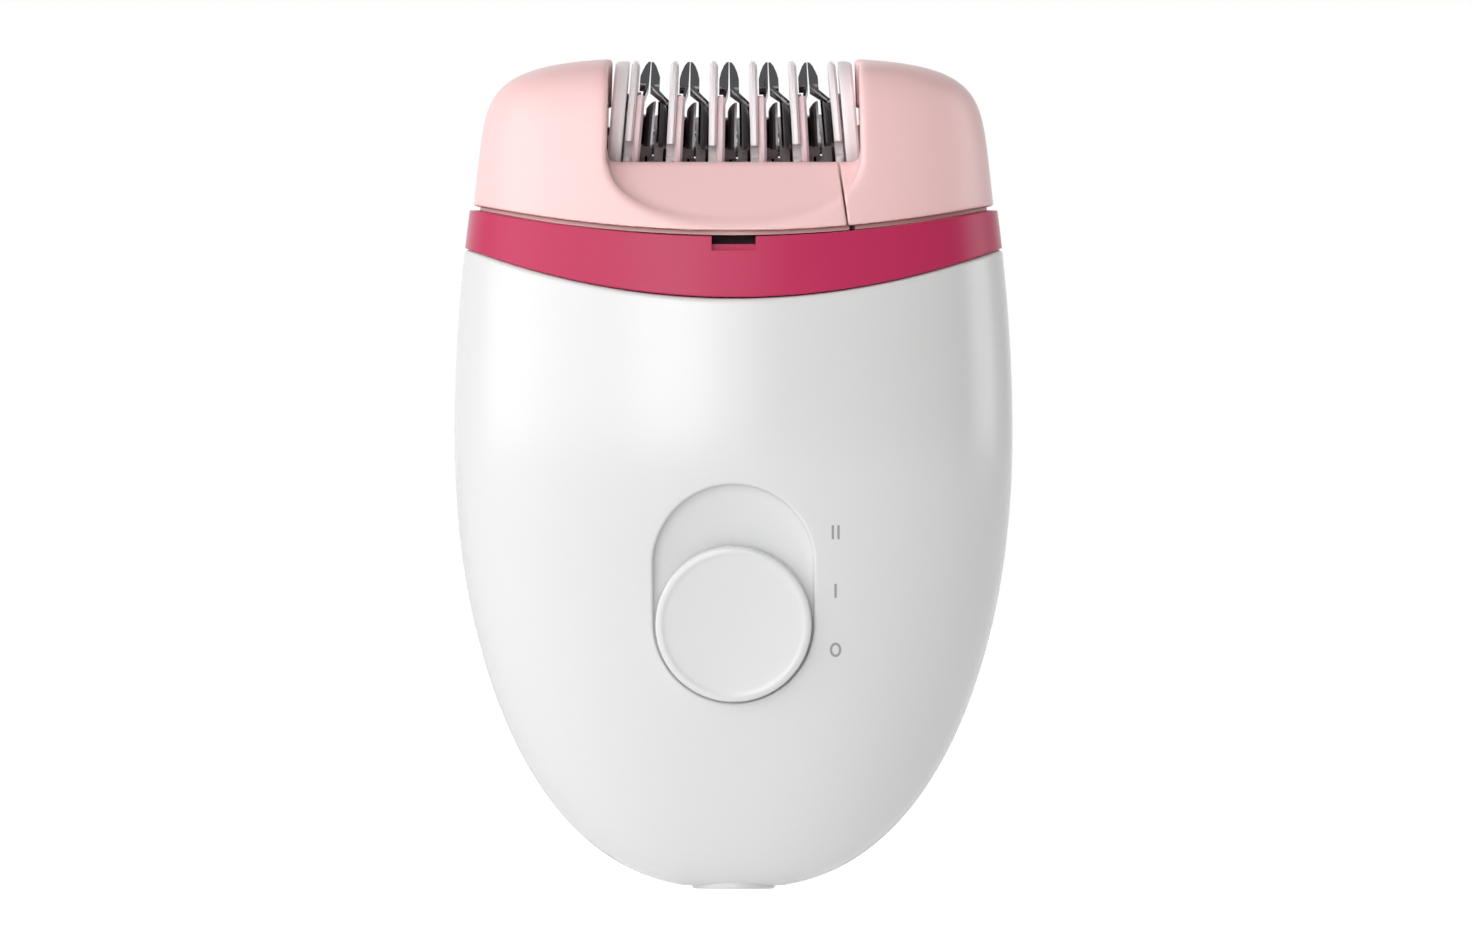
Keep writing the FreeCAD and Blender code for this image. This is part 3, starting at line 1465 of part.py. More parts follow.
def make_socket():
    """The socket's insulating body, open downwards, and its contact pin."""
    outer = size("socket_radius")
    bore = size("socket_bore_radius")
    depth = size("socket_depth")
    root = size("socket_pin_radius") - size("socket_root_step")
    body = [
        (bore, 0.35),
        (bore + 0.35, 0.0),
        (outer - 0.25, 0.0),
        (outer, 0.25),
        (outer, size("socket_seat")),
        (outer + size("socket_flange"), size("socket_seat")),
        (outer + size("socket_flange"), depth + 2.0),
        (root, depth + 2.0),
        (root, depth),
        (bore, depth),
    ]
    keep(turned("socket_body", body, axis="V_Axis"), "socket_body")
    pin = [
        (0.0, 1.4),
        (size("socket_pin_radius") - 0.3, 1.4),
        (size("socket_pin_radius"), 1.8),
        (size("socket_pin_radius"), depth),
        (root, depth),
        (root, depth + 4.0),
        (0.0, depth + 4.0),
    ]
    keep(turned("socket_pin", pin, axis="V_Axis"), "socket_pin")


def make_leads():
    """Insulated wires: two from the socket to the board, and two from the board to the motor."""
    wire = mm("wire_radius")
    supply = []
    motor = []
    motor_y, motor_z = gear_centres()[2]
    for side in (-1, 1):
        start = Vector(side * 2.4, 3.4, 11.9)
        board_foot = Vector(side * 5.0, -3.2, 20.0)
        points = [start, Vector(side * 3.2, 4.0, 17.0), Vector(side * 5.0, 1.2, 21.0), board_foot]
        supply.append(wire_piece("supply_lead", points, wire))
        clear = 0.5 * mm("terminal_thickness") + wire + 0.02
        end_x = mm("motor_back") - 2 * mm("motor_edge_round") - 0.6 * mm("terminal_length")
        end = Vector(end_x, motor_y, motor_z + side * mm("terminal_offset") - clear)
        bottom = Vector(-11.0 - side * 1.2, -5.6 - 0.4 * side, 42.0 + 3.0 * side)
        points = [bottom, bottom + Vector(-0.5, 4.6, 1.0), Vector(-20.4, 1.0 + side, 48.0 + 3 * side), end]
        motor.append(wire_piece("motor_lead", points, wire))
    group("supply_leads", supply)
    group("motor_leads", motor)


def wire_piece(name, points, radius):
    """One insulated wire along its route."""
    piece = doc.addObject("Part::Feature", name)
    radii = []
    for i in range(1, len(points) - 1):
        before = points[i - 1] - points[i]
        after = points[i + 1] - points[i]
        half_turn = 0.5 * (math.pi - before.getAngle(after))
        radii.append(0.45 * min(before.Length, after.Length) / math.tan(half_turn))
    piece.Shape = tube(points, radii, radius)
    return piece


# ---------------------------------------------------------------- build and write


def check_and_write():
    """Refuses failed or invalid objects, then writes one STEP file for each node."""
    doc.recompute()
    failed = [o.Label for o in doc.Objects if "Invalid" in o.State or "Error" in o.State]
    for piece in PIECES:
        shape = piece.Shape
        if shape.isNull() or not shape.isValid() or not shape.Solids:
            failed.append(piece.Label)
    if failed:
        raise RuntimeError(f"these objects failed: {failed}")
    os.makedirs("parts", exist_ok=True)
    for old in os.listdir("parts"):
        os.remove(os.path.join("parts", old))
    for piece in PIECES:
        piece.Shape.exportStep(os.path.join("parts", piece.Label + ".step"))
    print(len(PIECES), "nodes written")


def main():
    make_shells()
    make_head_casing()
    for k in range(6):
        make_wheel(k)
        if k < 5:
            make_spacer(k)
            make_blade_disc(k, 1)
        if k > 0:
            make_blade_disc(k, -1)
    make_disc_axle()
    make_gears()
    make_motor()
    make_chassis()
    make_screws()
    make_axle_clips()
    make_switch()
    make_socket()
    make_leads()
    check_and_write()


main()
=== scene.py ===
"""The looks of the corded epilator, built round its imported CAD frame.

Lengths are in millimetres unless said otherwise, and every mesh is scaled to metres when it is made.
"""

import json
import math

import bmesh
import bpy
import numpy as np
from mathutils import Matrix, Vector


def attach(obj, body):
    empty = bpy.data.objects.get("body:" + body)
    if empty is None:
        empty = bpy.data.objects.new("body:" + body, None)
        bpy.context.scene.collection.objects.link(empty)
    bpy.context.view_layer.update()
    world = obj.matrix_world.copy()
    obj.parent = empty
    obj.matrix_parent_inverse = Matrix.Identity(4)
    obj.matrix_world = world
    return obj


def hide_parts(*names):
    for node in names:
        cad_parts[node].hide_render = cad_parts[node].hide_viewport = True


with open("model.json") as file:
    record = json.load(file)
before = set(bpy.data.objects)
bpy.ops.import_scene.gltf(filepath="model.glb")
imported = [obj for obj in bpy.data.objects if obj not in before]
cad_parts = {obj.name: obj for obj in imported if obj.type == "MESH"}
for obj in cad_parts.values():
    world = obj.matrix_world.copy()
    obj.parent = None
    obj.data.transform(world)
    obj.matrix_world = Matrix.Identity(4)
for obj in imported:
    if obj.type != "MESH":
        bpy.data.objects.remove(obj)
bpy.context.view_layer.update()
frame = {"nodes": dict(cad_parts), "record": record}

MM = 0.001
NODES = frame["nodes"]

# ---------------------------------------------------------------- driving sizes

WIDEST = 57.0  # height of the handle's widest section
HALF_WIDTH = 35.0
HALF_DEPTH = 22.0
EGG_HEIGHT_POWER = 2.05
EGG_WIDTH_POWER = 2.45
SECTION_POWER = 2.5
UPPER_NARROWING = 1.9
UPPER_SPAN = 28.0
REAR_SWEEP = 92.0  # length of the rear shell's surface from foot to upper edge
FOOT = 0.4  # height of the handle's lowest edge, round the socket
WALL = 2.0

SHELL_ARC = (74.0, 93.3)  # height at the middle and radius of the white shells' upper edge
COLLAR_ARC = (81.6, 160.0)
HEAD_ARC = (82.3, 160.0)

SLIDE_BASE = np.array((0.0, -19.3, 37.15))  # middle of the slide's recess, on its floor
SLIDE_TILT = math.radians(6.5)
SLIDE_ALONG = np.array((0.0, -math.sin(SLIDE_TILT), math.cos(SLIDE_TILT)))
SLIDE_OUT = np.array((0.0, -math.cos(SLIDE_TILT), -math.sin(SLIDE_TILT)))
SLIDE_HALF_TRAVEL = 3.7
RECESS_RADIUS = 10.0
FLOOR_DISH = 0.5
FOOT_ROUND = 1.6  # where the recess's floor turns up into its wall
RIM_ROUND = 0.45
SEARCH = (-4.0, 7.0)  # the handle's surface lies between these distances out of the recess's floor
HALVINGS = 36
FLAT_RINGS = (0.12, 0.35, 0.7, 1.2, 1.9)  # distances of the mesh's first rings outside the recess's rim

SHELL_GAP = 0.12
SHELL_TOP_ROUND = 0.75
SHELL_SIDE_ROUND = 0.2
BAND_ROUND = 0.15
SLOT_HALF_WIDTH = 2.75  # the band's slot for a fingernail
SLOT_DEPTH = 1.0
LEDGE_DEPTH = 1.8  # the slot's ledge lies this far below the band's upper edge
LEDGE_INSET = 0.7

KNOB_RADIUS = 9.72
KNOB_HEIGHT = 2.3
KNOB_FOOT = 0.1  # the knob floats this far above the recess's floor
KNOB_EDGE_ROUND = 0.42
KNOB_HOLLOW = 0.32
STEM_HALF_WIDTH = 1.4
STEM_HALF_LENGTH = 1.6
STEM_DEPTH = (3.3, 0.2)  # how far the stem reaches below the recess's floor and up into the knob

DISC_BEVEL = 0.07
EMPTY_FACE = 0.0005  # edges shorter than this are dissolved
SHARP_SHELL = 50.0  # degrees above which an edge of a shell stays sharp
SHARP_SMALL = 35.0

MARK_PLACE = 12.7  # to the right of the slide
MARK_HEIGHTS = (30.1, 37.45, 44.75)
BAR_SPACING = 0.35  # half the distance between the two bars
MARK_SUNK = 0.02
MARK_PROUD = 0.012

SURROUND = 0.02  # radiance of the room between the banks of light
BANK_TOP = (28.0, 54.0)  # elevations in degrees between which the banks fade out
CEILING = (50.0, 68.0)  # elevations in degrees between which the ceiling's glow sets in
CEILING_GLOW = 0.05
HIGH_LAMP = 1.5  # radiance
HIGH_LAMP_SIZE = 0.6  # metres
HIGH_LAMP_PLACE = (-0.3, -0.6, 0.95)  # metres
HIGH_LAMP_AIM = (0.0, 0.0, 0.07)  # metres
BANKS = (  # azimuth in degrees from the front, towards +X, and radiance
    (-180.0, 0.9), (-150.0, 0.9), (-112.0, 0.6), (-92.0, 1.8), (-82.0, 2.6), (-68.0, 2.8), (-50.0, 2.5),
    (-35.0, 2.4), (-20.0, 2.7), (-13.0, 4.6), (-1.5, 5.2), (1.0, 0.0), (82.0, 0.0), (90.0, 1.4),
    (98.0, 2.4), (112.0, 2.4), (126.0, 0.9), (140.0, 0.6), (180.0, 0.9),
)
FLOOR_GLOW = 0.44  # what the object sees of the floor's own light
FLOOR_NEAR = 0.74  # what the camera sees of it beside the object, from where it fades to white
FLOOR_FADE = (0.05, 0.40)  # metres from the object
FLOOR_REACH = 4000.0
CAMERA_DISTANCE = 2.5  # metres
CAMERA_AIM = (0.0003, 0.0533)  # x and z, in metres
VIEW_WIDTH = 0.1847  # metres, at the object

HEAD_BASE = 82.0
HEAD_TOP = 104.2
HEAD_HALF_WIDTH = 33.0  # at the base
HEAD_HALF_DEPTH = 20.0
HEAD_WIDTH_TAPER = 0.11
HEAD_DEPTH_TAPER = 0.30
CROWN_POWER = 8.0  # how squarely the head's top turns into its sides
AXLE_HEIGHT = 93.2
BAY_RADIUS = 12.0  # the round bay of the wheels
BAY_HALF_WIDTH = 17.0
BAY_TOP = 98.0
BAY_WALL = 1.5
MOUTH_HEIGHT = 91.0
MOUTH_HALF_WIDTHS = (15.6, 15.15)  # at the mouth's foot and at the head's top
MOUTH_ROUND = 0.9
SCOOP_HALF_WIDTH = 15.6
SCOOP_DROP = 8.2
SCOOP_START = 12.7  # how far in front of the axle the scoop's floor starts at the mouth's foot
SCOOP_SLOPE = math.radians(39.5)
SCOOP_ROUND = 1.2
EDGE_ROUND = 0.7
FOOT_EDGE_ROUND = 0.25
POCKET_START = 18.5  # the hollows at both ends start this far from the middle
AXLE_HOLE = (94.2, 5.4, 19.5)  # height, radius and reach of the clearance round the axle's ends
SEAM_PLACE = 13.1  # at the mouth's foot
SEAM_LEAN = math.radians(7.9)
SEAM_HALF = 0.1
SEAM_ROUND = 0.2
LEFT_BOX = ((-33.5, -20.5, 82.0), (15.0, 20.5, 104.6))
RIGHT_BOX = ((10.5, -20.5, 82.0), (33.5, 20.5, 104.6))


# ---------------------------------------------------------------- the handle's surface


def handle_half(z, inset=0.0):
    """Half width and half depth of the handle at heights z, moved in by inset."""
    z = np.asarray(z, float)
    rise = np.clip((WIDEST - z) / (WIDEST - inset), 0.0, 1.0)
    share = (1.0 - rise**EGG_HEIGHT_POWER) ** (1.0 / EGG_WIDTH_POWER)
    fall = UPPER_NARROWING * (np.maximum(z - WIDEST, 0.0) / UPPER_SPAN) ** 2
    return (HALF_WIDTH - inset) * share - fall, (HALF_DEPTH - inset) * share - fall


def section_reach(angle):
    """How far the superellipse stands out of a circle's place at an angle from the front."""
    flat = np.abs(np.sin(angle)) ** SECTION_POWER + np.abs(np.cos(angle)) ** SECTION_POWER
    return flat ** (-1.0 / SECTION_POWER)


def handle_points(angle, z, inset=0.0):
    """Points on the handle at angles from the front, towards +X, and at heights z."""
    width, depth = handle_half(z, inset)
    reach = section_reach(angle)
    return np.stack((width * reach * np.sin(angle), -depth * reach * np.cos(angle), z + 0.0 * angle), axis=-1)


def arc_height(arc, x):
    """Height of a parting arc at a distance from the middle."""
    middle, radius = arc
    return middle + radius - np.sqrt(radius**2 - x**2)


def arc_at_angle(arc, angle, lift=0.0):
    """Height at which a parting arc crosses the handle's surface at these angles."""
    z = np.full(np.shape(angle), arc[0])
    for _ in range(8):
        width, _depth = handle_half(z)
        z = arc_height(arc, width * section_reach(angle) * np.sin(angle)) + lift
    return z


def even_height(w):
    """Height for an even parameter w, crowded near the rounded bottom: 1 is the widest section."""
    quarter = math.pi / 2
    low = WIDEST * (1.0 - np.cos(quarter * np.clip(w, 0.0, 1.0)))
    return low + np.maximum(w - 1.0, 0.0) * WIDEST * quarter


def even_parameter(z):
    """The parameter w of a height."""
    quarter = math.pi / 2
    low = np.arccos(np.clip(1.0 - z / WIDEST, -1.0, 1.0)) / quarter
    return np.where(z < WIDEST, low, 1.0 + (z - WIDEST) / (WIDEST * quarter))


# ---------------------------------------------------------------- meshes from arrays


def new_object(name, points, faces, smooth_angle=40.0):
    """A mesh object from points in millimetres, smooth but for edges sharper than an angle."""
    mesh = bpy.data.meshes.new(name)
    mesh.from_pydata((np.asarray(points) * MM).tolist(), [], faces)
    mesh.validate()
    mesh.shade_smooth()
    mesh.set_sharp_from_angle(angle=math.radians(smooth_angle))
    thing = bpy.data.objects.new(name, mesh)
    bpy.context.scene.collection.objects.link(thing)
    return thing


def grid_faces(rows, columns, wrap_rows=False, wrap_columns=False, start=0):
    """Quads between neighbouring points of a grid stored row by row."""
    faces = []
    for r in range(rows if wrap_rows else rows - 1):
        for c in range(columns if wrap_columns else columns - 1):
            r2 = (r + 1) % rows
            c2 = (c + 1) % columns
            faces.append((start + r * columns + c, start + r * columns + c2, start + r2 * columns + c2,
                          start + r2 * columns + c))
    return faces


def clean(thing, distance=0.002):
    """Joins doubled points, drops empty faces and turns every face outward."""
    shape = bmesh.new()
    shape.from_mesh(thing.data)
    bmesh.ops.remove_doubles(shape, verts=shape.verts, dist=distance * MM)
    bmesh.ops.dissolve_degenerate(shape, edges=shape.edges, dist=EMPTY_FACE * MM)
    bmesh.ops.recalc_face_normals(shape, faces=shape.faces)
    shape.to_mesh(thing.data)
    shape.free()
    thing.data.update()
    return thing


def lathe(name, profile, segments=128, smooth_angle=35.0):
    """A closed turned piece: profile is (radius, height) about the third axis."""
    turn = np.linspace(0.0, 2.0 * math.pi, segments, endpoint=False)
    points = [[(r * math.cos(t), r * math.sin(t), s) for t in turn] for r, s in profile]
    points = np.array(points).reshape(-1, 3)
    thing = new_object(name, points, grid_faces(len(profile), segments, False, True), smooth_angle)
    return clean(thing)


def cut(thing, *tools):
    """Cuts closed tools out of a closed mesh and removes them."""
    for tool in tools:
        step = thing.modifiers.new("cut", "BOOLEAN")
        step.operation = "DIFFERENCE"
        step.solver = "EXACT"
        step.object = tool
        with bpy.context.temp_override(object=thing, active_object=thing, selected_objects=[thing]):
            bpy.ops.object.modifier_apply(modifier=step.name)
        bpy.data.objects.remove(tool)
    return thing


def box_tool(low, high):
    """A plain cutting box."""
    corners = [(x, y, z) for x in (low[0], high[0]) for y in (low[1], high[1]) for z in (low[2], high[2])]
    faces = [(0, 1, 3, 2), (4, 6, 7, 5), (0, 4, 5, 1), (2, 3, 7, 6), (0, 2, 6, 4), (1, 5, 7, 3)]
    return new_object("tool", corners, faces)


# ---------------------------------------------------------------- handle shells and band


def slide_points(x, along, out):
    """Points in the handle's frame from places in the slide's frame."""
    x, along, out = np.broadcast_arrays(x, along, out)
    sideways = np.array((1.0, 0.0, 0.0))
    return SLIDE_BASE + x[..., None] * sideways + along[..., None] * SLIDE_ALONG + out[..., None] * SLIDE_OUT


def surface_out(x, along, inset=0.0):
    """How far out of the slide's floor plane the handle's surface lies over a place."""
    low = np.full(np.shape(x), SEARCH[0])
    high = np.full(np.shape(x), SEARCH[1])
    for _ in range(HALVINGS):
        middle = 0.5 * (low + high)
        p = slide_points(x, along, middle)
        width, depth = handle_half(p[..., 2], inset)
        flat = np.abs(p[..., 0] / width) ** SECTION_POWER + np.abs(p[..., 1] / depth) ** SECTION_POWER
        outside = flat > 1.0
        high = np.where(outside, middle, high)
        low = np.where(outside, low, middle)
    return 0.5 * (low + high)


def stadium(offset, arc_steps=112, side_steps=36):
    """(x, along) round a stadium of the recess's radius plus offset, anticlockwise from the lower right."""
    radius = max(RECESS_RADIUS + offset, 0.0)
    half = SLIDE_HALF_TRAVEL
    side = np.linspace(-half, half, side_steps, endpoint=False)
    turn = np.linspace(0.0, math.pi, arc_steps, endpoint=False)
    x = np.concatenate((np.full(side_steps, radius), radius * np.cos(turn),
                        np.full(side_steps, -radius), -radius * np.cos(turn)))
    along = np.concatenate((side, half + radius * np.sin(turn), -side, -half - radius * np.sin(turn)))
    return x, along


def angle_and_height(points):
    """The section angle and height of points on the handle's surface."""
    width, depth = handle_half(points[..., 2])
    return np.arctan2(points[..., 0] / width, -points[..., 1] / depth), points[..., 2]


def box_exit(u, v, centre_v, low, high):
    """Where rays from (0, centre_v) through (u, v) leave a rectangle, the nearest ray meeting each corner."""
    du = u
    dv = v - centre_v
    with np.errstate(divide="ignore"):
        along_v = np.where(dv > 0, (high[1] - centre_v) / dv, (low[1] - centre_v) / dv)
        reach = np.minimum(high[0] / np.abs(du), along_v)
    end = np.stack((du * reach, centre_v + dv * reach), axis=-1)
    for corner in ((low[0], low[1]), (low[0], high[1]), (high[0], low[1]), (high[0], high[1])):
        nearest = np.argmin(np.hypot(end[:, 0] - corner[0], end[:, 1] - corner[1]))
        end[nearest] = corner
    return end[:, 0], end[:, 1]


def rounding(radius, steps=7):
    """(distance from a border, inset) of rings that round the border over, from the face to the edge."""
    turns = np.linspace(0.0, math.pi / 2, steps)
    return [(radius * (1.0 - math.sin(t)), radius * (1.0 - math.cos(t))) for t in turns]


def recess_rings(x, along, side_x, side_along):
    """Rings of points from the middle of the recess's floor, up its wall and over its rim onto the handle."""
    rim = surface_out(x, along)
    rim_round = np.minimum(RIM_ROUND, 0.4 * rim)
    foot_round = np.minimum(FOOT_ROUND, 0.5 * rim)
    rings = []
    for share in np.linspace(0.0, 1.0, 16):
        px, pa = stadium(-RECESS_RADIUS + (RECESS_RADIUS - FOOT_ROUND) * share)
        rings.append(slide_points(px, pa, 0.0 * px - FLOOR_DISH * (1.0 - share**2)))
    for turn in np.linspace(0.0, math.pi / 2, 8)[1:]:
        off = FOOT_ROUND * (math.sin(turn) - 1.0)
        up = foot_round * (1.0 - math.cos(turn))
        rings.append(slide_points(x + side_x * off, along + side_along * off, up))
    for turn in np.linspace(0.0, math.pi / 2, 9):
        off = rim_round * (1.0 - math.cos(turn))
        px = x + side_x * off
        pa = along + side_along * off
        rings.append(slide_points(px, pa, surface_out(px, pa) - rim_round * (1.0 - math.sin(turn))))
    for extra in FLAT_RINGS:
        px = x + side_x * (rim_round + extra)
        pa = along + side_along * (rim_round + extra)
        rings.append(slide_points(px, pa, surface_out(px, pa)))
    return rings


def make_front_shell():
    """The front half of the handle with the slide's recess sunk into it."""
    x, along = stadium(0.0)
    side_x, side_along = stadium(1.0)
    side_x, side_along = side_x - x, side_along - along
    rings = recess_rings(x, along, side_x, side_along)
    side = math.pi / 2 - 0.5 * SHELL_GAP / HALF_DEPTH
    angle, height = angle_and_height(rings[-1])
    low_w = even_parameter(np.array(FOOT))
    top_w = even_parameter(arc_at_angle(SHELL_ARC, angle, -SHELL_GAP))
    v = (even_parameter(height) - low_w) / (top_w - low_w)
    centre_v = 0.5 * (v.min() + v.max())
    end_u, end_v = box_exit(angle, v, centre_v, (-side, 0.0), (side, 1.0))

    def at_share(share, inset):
        u = angle + (end_u - angle) * share
        w_top = even_parameter(arc_at_angle(SHELL_ARC, u, -SHELL_GAP))
        w = low_w + (v + (end_v - v) * share) * (w_top - low_w)
        return handle_points(u, even_height(w), inset)

    border = at_share(1.0 + 0.0 * angle, 0.0)
    reach = np.linalg.norm(border - at_share(0.98 + 0.0 * angle, 0.0), axis=-1) / 0.02
    edge_round = np.where(end_v > 1.0 - 1e-9, SHELL_TOP_ROUND, SHELL_SIDE_ROUND)
    last = 1.0 - 1.6 * SHELL_TOP_ROUND / reach
    for share in np.linspace(0.0, 1.0, 60)[1:]:
        rings.append(at_share(share * last, 0.0))
    for distance, inset in rounding(1.0):
        rings.append(at_share(1.0 - distance * edge_round / reach, inset * edge_round))
    for share in np.linspace(1.0, 0.0, 24):
        rings.append(at_share(share, WALL))
    for offset in np.linspace(1.5, -RECESS_RADIUS, 10):
        px, pa = stadium(offset)
        rings.append(slide_points(px, pa, surface_out(px, pa, WALL)))
    points = np.array(rings).reshape(-1, 3)
    shell = new_object("front_shell_skin", points, grid_faces(len(rings), len(x), False, True))
    clean(shell)
    shell.data.set_sharp_from_angle(angle=math.radians(SHARP_SHELL))
    return shell


def bordered(low, high, count, low_round, high_round, scale):
    """(value, inset) rows from low to high with both ends rounded over; scale is millimetres to one unit."""
    start = [(low + d / scale, inset) for d, inset in reversed(rounding(low_round, 5))]
    stop = [(high - d / scale, inset) for d, inset in rounding(high_round, 7)]
    first = start[-1][0] + 0.6 * high_round / scale
    last = stop[0][0] - 0.6 * high_round / scale
    return start + [(value, 0.0) for value in np.linspace(first, last, count)] + stop


def make_rear_shell():
    """The plain rear half of the handle."""
    edge = 0.5 * SHELL_GAP / HALF_DEPTH
    across = bordered(math.pi / 2 + edge, 3 * math.pi / 2 - edge, 120, SHELL_SIDE_ROUND, SHELL_SIDE_ROUND,
                      HALF_DEPTH)
    up = bordered(0.0, 1.0, 110, SHELL_SIDE_ROUND, SHELL_TOP_ROUND, REAR_SWEEP)
    angle = np.array([a for a, _ in across])
    top = even_parameter(arc_at_angle(SHELL_ARC, angle, -SHELL_GAP))
    low = even_parameter(np.array(FOOT))
    outer = []
    inner = []
    for v, row_inset in up:
        z = even_height(low + v * (top - low))
        inset = np.maximum(row_inset, np.array([i for _, i in across]))
        outer.append(handle_points(angle, z, inset))
        inner.append(handle_points(angle, z, WALL))
    rows = len(up)
    columns = len(across)
    count = rows * columns
    points = np.concatenate((np.array(outer).reshape(-1, 3), np.array(inner).reshape(-1, 3)))
    faces = grid_faces(rows, columns) + [tuple(reversed(f)) for f in grid_faces(rows, columns, start=count)]
    border = [(0, c) for c in range(columns)] + [(r, columns - 1) for r in range(1, rows)]
    border += [(rows - 1, c) for c in range(columns - 2, -1, -1)] + [(r, 0) for r in range(rows - 2, 0, -1)]
    loop = [r * columns + c for r, c in border]
    for here, after in zip(loop, loop[1:] + loop[:1]):
        faces.append((after, here, here + count, after + count))
    shell = new_object("rear_shell_skin", points, faces)
    clean(shell)
    shell.data.set_sharp_from_angle(angle=math.radians(SHARP_SHELL))
    return shell


def make_collar_band():
    """The magenta band: one closed ring with rounded edges, a shallow slot and a ledge at the front."""
    angle = np.linspace(-math.pi, math.pi, 480, endpoint=False)
    low = arc_at_angle(SHELL_ARC, angle)
    high = arc_at_angle(COLLAR_ARC, angle)
    rows = []
    for v, inset in bordered(0.0, 1.0, 14, BAND_ROUND, BAND_ROUND, COLLAR_ARC[0] - SHELL_ARC[0]):
        rows.append(handle_points(angle, low + v * (high - low), inset))
    for v in (1.0, 0.5, 0.0):
        rows.append(handle_points(angle, low + v * (high - low), WALL))
    points = np.array(rows).reshape(-1, 3)
    band = clean(new_object("collar_band_skin", points, grid_faces(len(rows), len(angle), True, True)))
    top = COLLAR_ARC[0]
    front = -40.0  # well in front of the band
    ledge = LEDGE_INSET - handle_half(top)[1]
    cut(band, box_tool((-SLOT_HALF_WIDTH, front, top - SLOT_DEPTH), (SLOT_HALF_WIDTH, -12.0, top + 9.0)),
        box_tool((-SLOT_HALF_WIDTH, front, top - LEDGE_DEPTH), (SLOT_HALF_WIDTH, ledge, top + 9.0)))
    band.data.set_sharp_from_angle(angle=math.radians(SHARP_SMALL))
    return band


def place_on_slide(thing):
    """Moves a piece from the slide's own frame, (x, along, out), to the slide's lowest place."""
    local = np.array([v.co for v in thing.data.vertices]) / MM
    placed = slide_points(local[:, 0], local[:, 1] - SLIDE_HALF_TRAVEL, local[:, 2])
    thing.data.vertices.foreach_set("co", (placed * MM).ravel())
    thing.data.update()


def join(keeper, *others):
    """Joins other mesh objects into the first."""
    with bpy.context.temp_override(active_object=keeper, selected_editable_objects=[keeper, *others]):
        bpy.ops.object.join()
    return keeper


def make_knob():
    """The round thumb slide: a flat-edged button with a bright bevel and a slightly hollow face."""
    profile = [
        (0.0, KNOB_FOOT),
        (KNOB_RADIUS - 0.15, KNOB_FOOT),
        (KNOB_RADIUS, KNOB_FOOT + 0.15),
        (KNOB_RADIUS, KNOB_HEIGHT - 0.62),
    ]
    for lean in np.linspace(0.0, math.pi / 2, 7):
        inward = KNOB_EDGE_ROUND * (1.0 - math.cos(lean))
        downward = KNOB_EDGE_ROUND * (1.0 - math.sin(lean)) + 0.05
        profile.append((KNOB_RADIUS - inward, KNOB_HEIGHT - downward))
    profile += [
        (KNOB_RADIUS - 0.62, KNOB_HEIGHT),
        (KNOB_RADIUS - 0.8, KNOB_HEIGHT - 0.02),
        (KNOB_RADIUS - 0.98, KNOB_HEIGHT - 0.1),
    ]
    for share in np.linspace(0.97, 0.0, 14):
        hollow = KNOB_HOLLOW * (1.0 - share**2)
        profile.append(((KNOB_RADIUS - 1.1) * share, KNOB_HEIGHT - 0.14 - hollow))
    knob = lathe("thumb_slide", profile, 160)
    place_on_slide(knob)
    stem = box_tool((-STEM_HALF_WIDTH, -STEM_HALF_LENGTH, -STEM_DEPTH[0]),
                    (STEM_HALF_WIDTH, STEM_HALF_LENGTH, STEM_DEPTH[1]))
    place_on_slide(stem)
    join(knob, stem)
    clean(knob)
    knob.data.set_sharp_from_angle(angle=math.radians(SHARP_SMALL))
    return knob


# ---------------------------------------------------------------- the head, from a distance field


def soft_max(a, b, radius):
    """The larger of two distances, with the corner between them rounded."""
    near = np.maximum(radius - np.abs(a - b), 0.0)
    return np.maximum(a, b) + near * near / (4.0 * radius)


def soft_min(a, b, radius):
    """The smaller of two distances, with the corner between them rounded."""
    return -soft_max(-a, -b, radius)


def head_body(p, inset=0.0):
    """Signed distance, roughly, to the head's outer form moved in by inset."""
    x, y, z = p
    rise = z - HEAD_BASE
    full = HEAD_TOP - HEAD_BASE - inset
    bent = np.clip(rise / full, 0.0, 1.2) ** CROWN_POWER
    width = HEAD_HALF_WIDTH - inset - HEAD_WIDTH_TAPER * rise
    depth = HEAD_HALF_DEPTH - inset - HEAD_DEPTH_TAPER * rise
    flat = np.abs(x / width) ** SECTION_POWER + np.abs(y / depth) ** SECTION_POWER
    shell = (flat ** (4.0 / SECTION_POWER) + bent) ** 0.25
    return (shell - 1.0) * depth * 0.95


def head_arc_distance(p):
    """Signed distance to below the head's lower parting arc: positive below it."""
    x, _y, z = p
    middle, radius = HEAD_ARC
    return np.hypot(x, z - middle - radius) - radius


def bay_distance(p):
    """Signed distance, positive inside, to the round bay of the wheels and the mouth above it."""
    x, y, z = p
    round_bay = soft_max(np.hypot(y, z - AXLE_HEIGHT) - BAY_RADIUS, np.abs(x) - BAY_HALF_WIDTH, 0.2)
    round_bay = np.maximum(round_bay, z - BAY_TOP)
    low, high = MOUTH_HALF_WIDTHS
    lean = (low - high) / (HEAD_TOP - MOUTH_HEIGHT)
    side = np.abs(x) - low + lean * (z - MOUTH_HEIGHT)
    mouth = soft_max(side, MOUTH_HEIGHT - z, MOUTH_ROUND)
    return -np.minimum(round_bay, mouth)


def scoop_distance(p, grow=0.0):
    """Signed distance, positive inside, to the two scoops in front of and behind the mouth."""
    x, y, z = p
    half = SCOOP_HALF_WIDTH + grow
    drop = SCOOP_DROP + grow
    below = np.hypot(x / half, np.minimum(z - MOUTH_HEIGHT, 0.0) / drop)
    well = (below - 1.0) * drop * 0.8
    ahead = (SCOOP_START - grow - np.abs(y)) * math.cos(SCOOP_SLOPE)
    floor = ahead + (MOUTH_HEIGHT - z) * math.sin(SCOOP_SLOPE)
    return -soft_max(well, floor, SCOOP_ROUND)


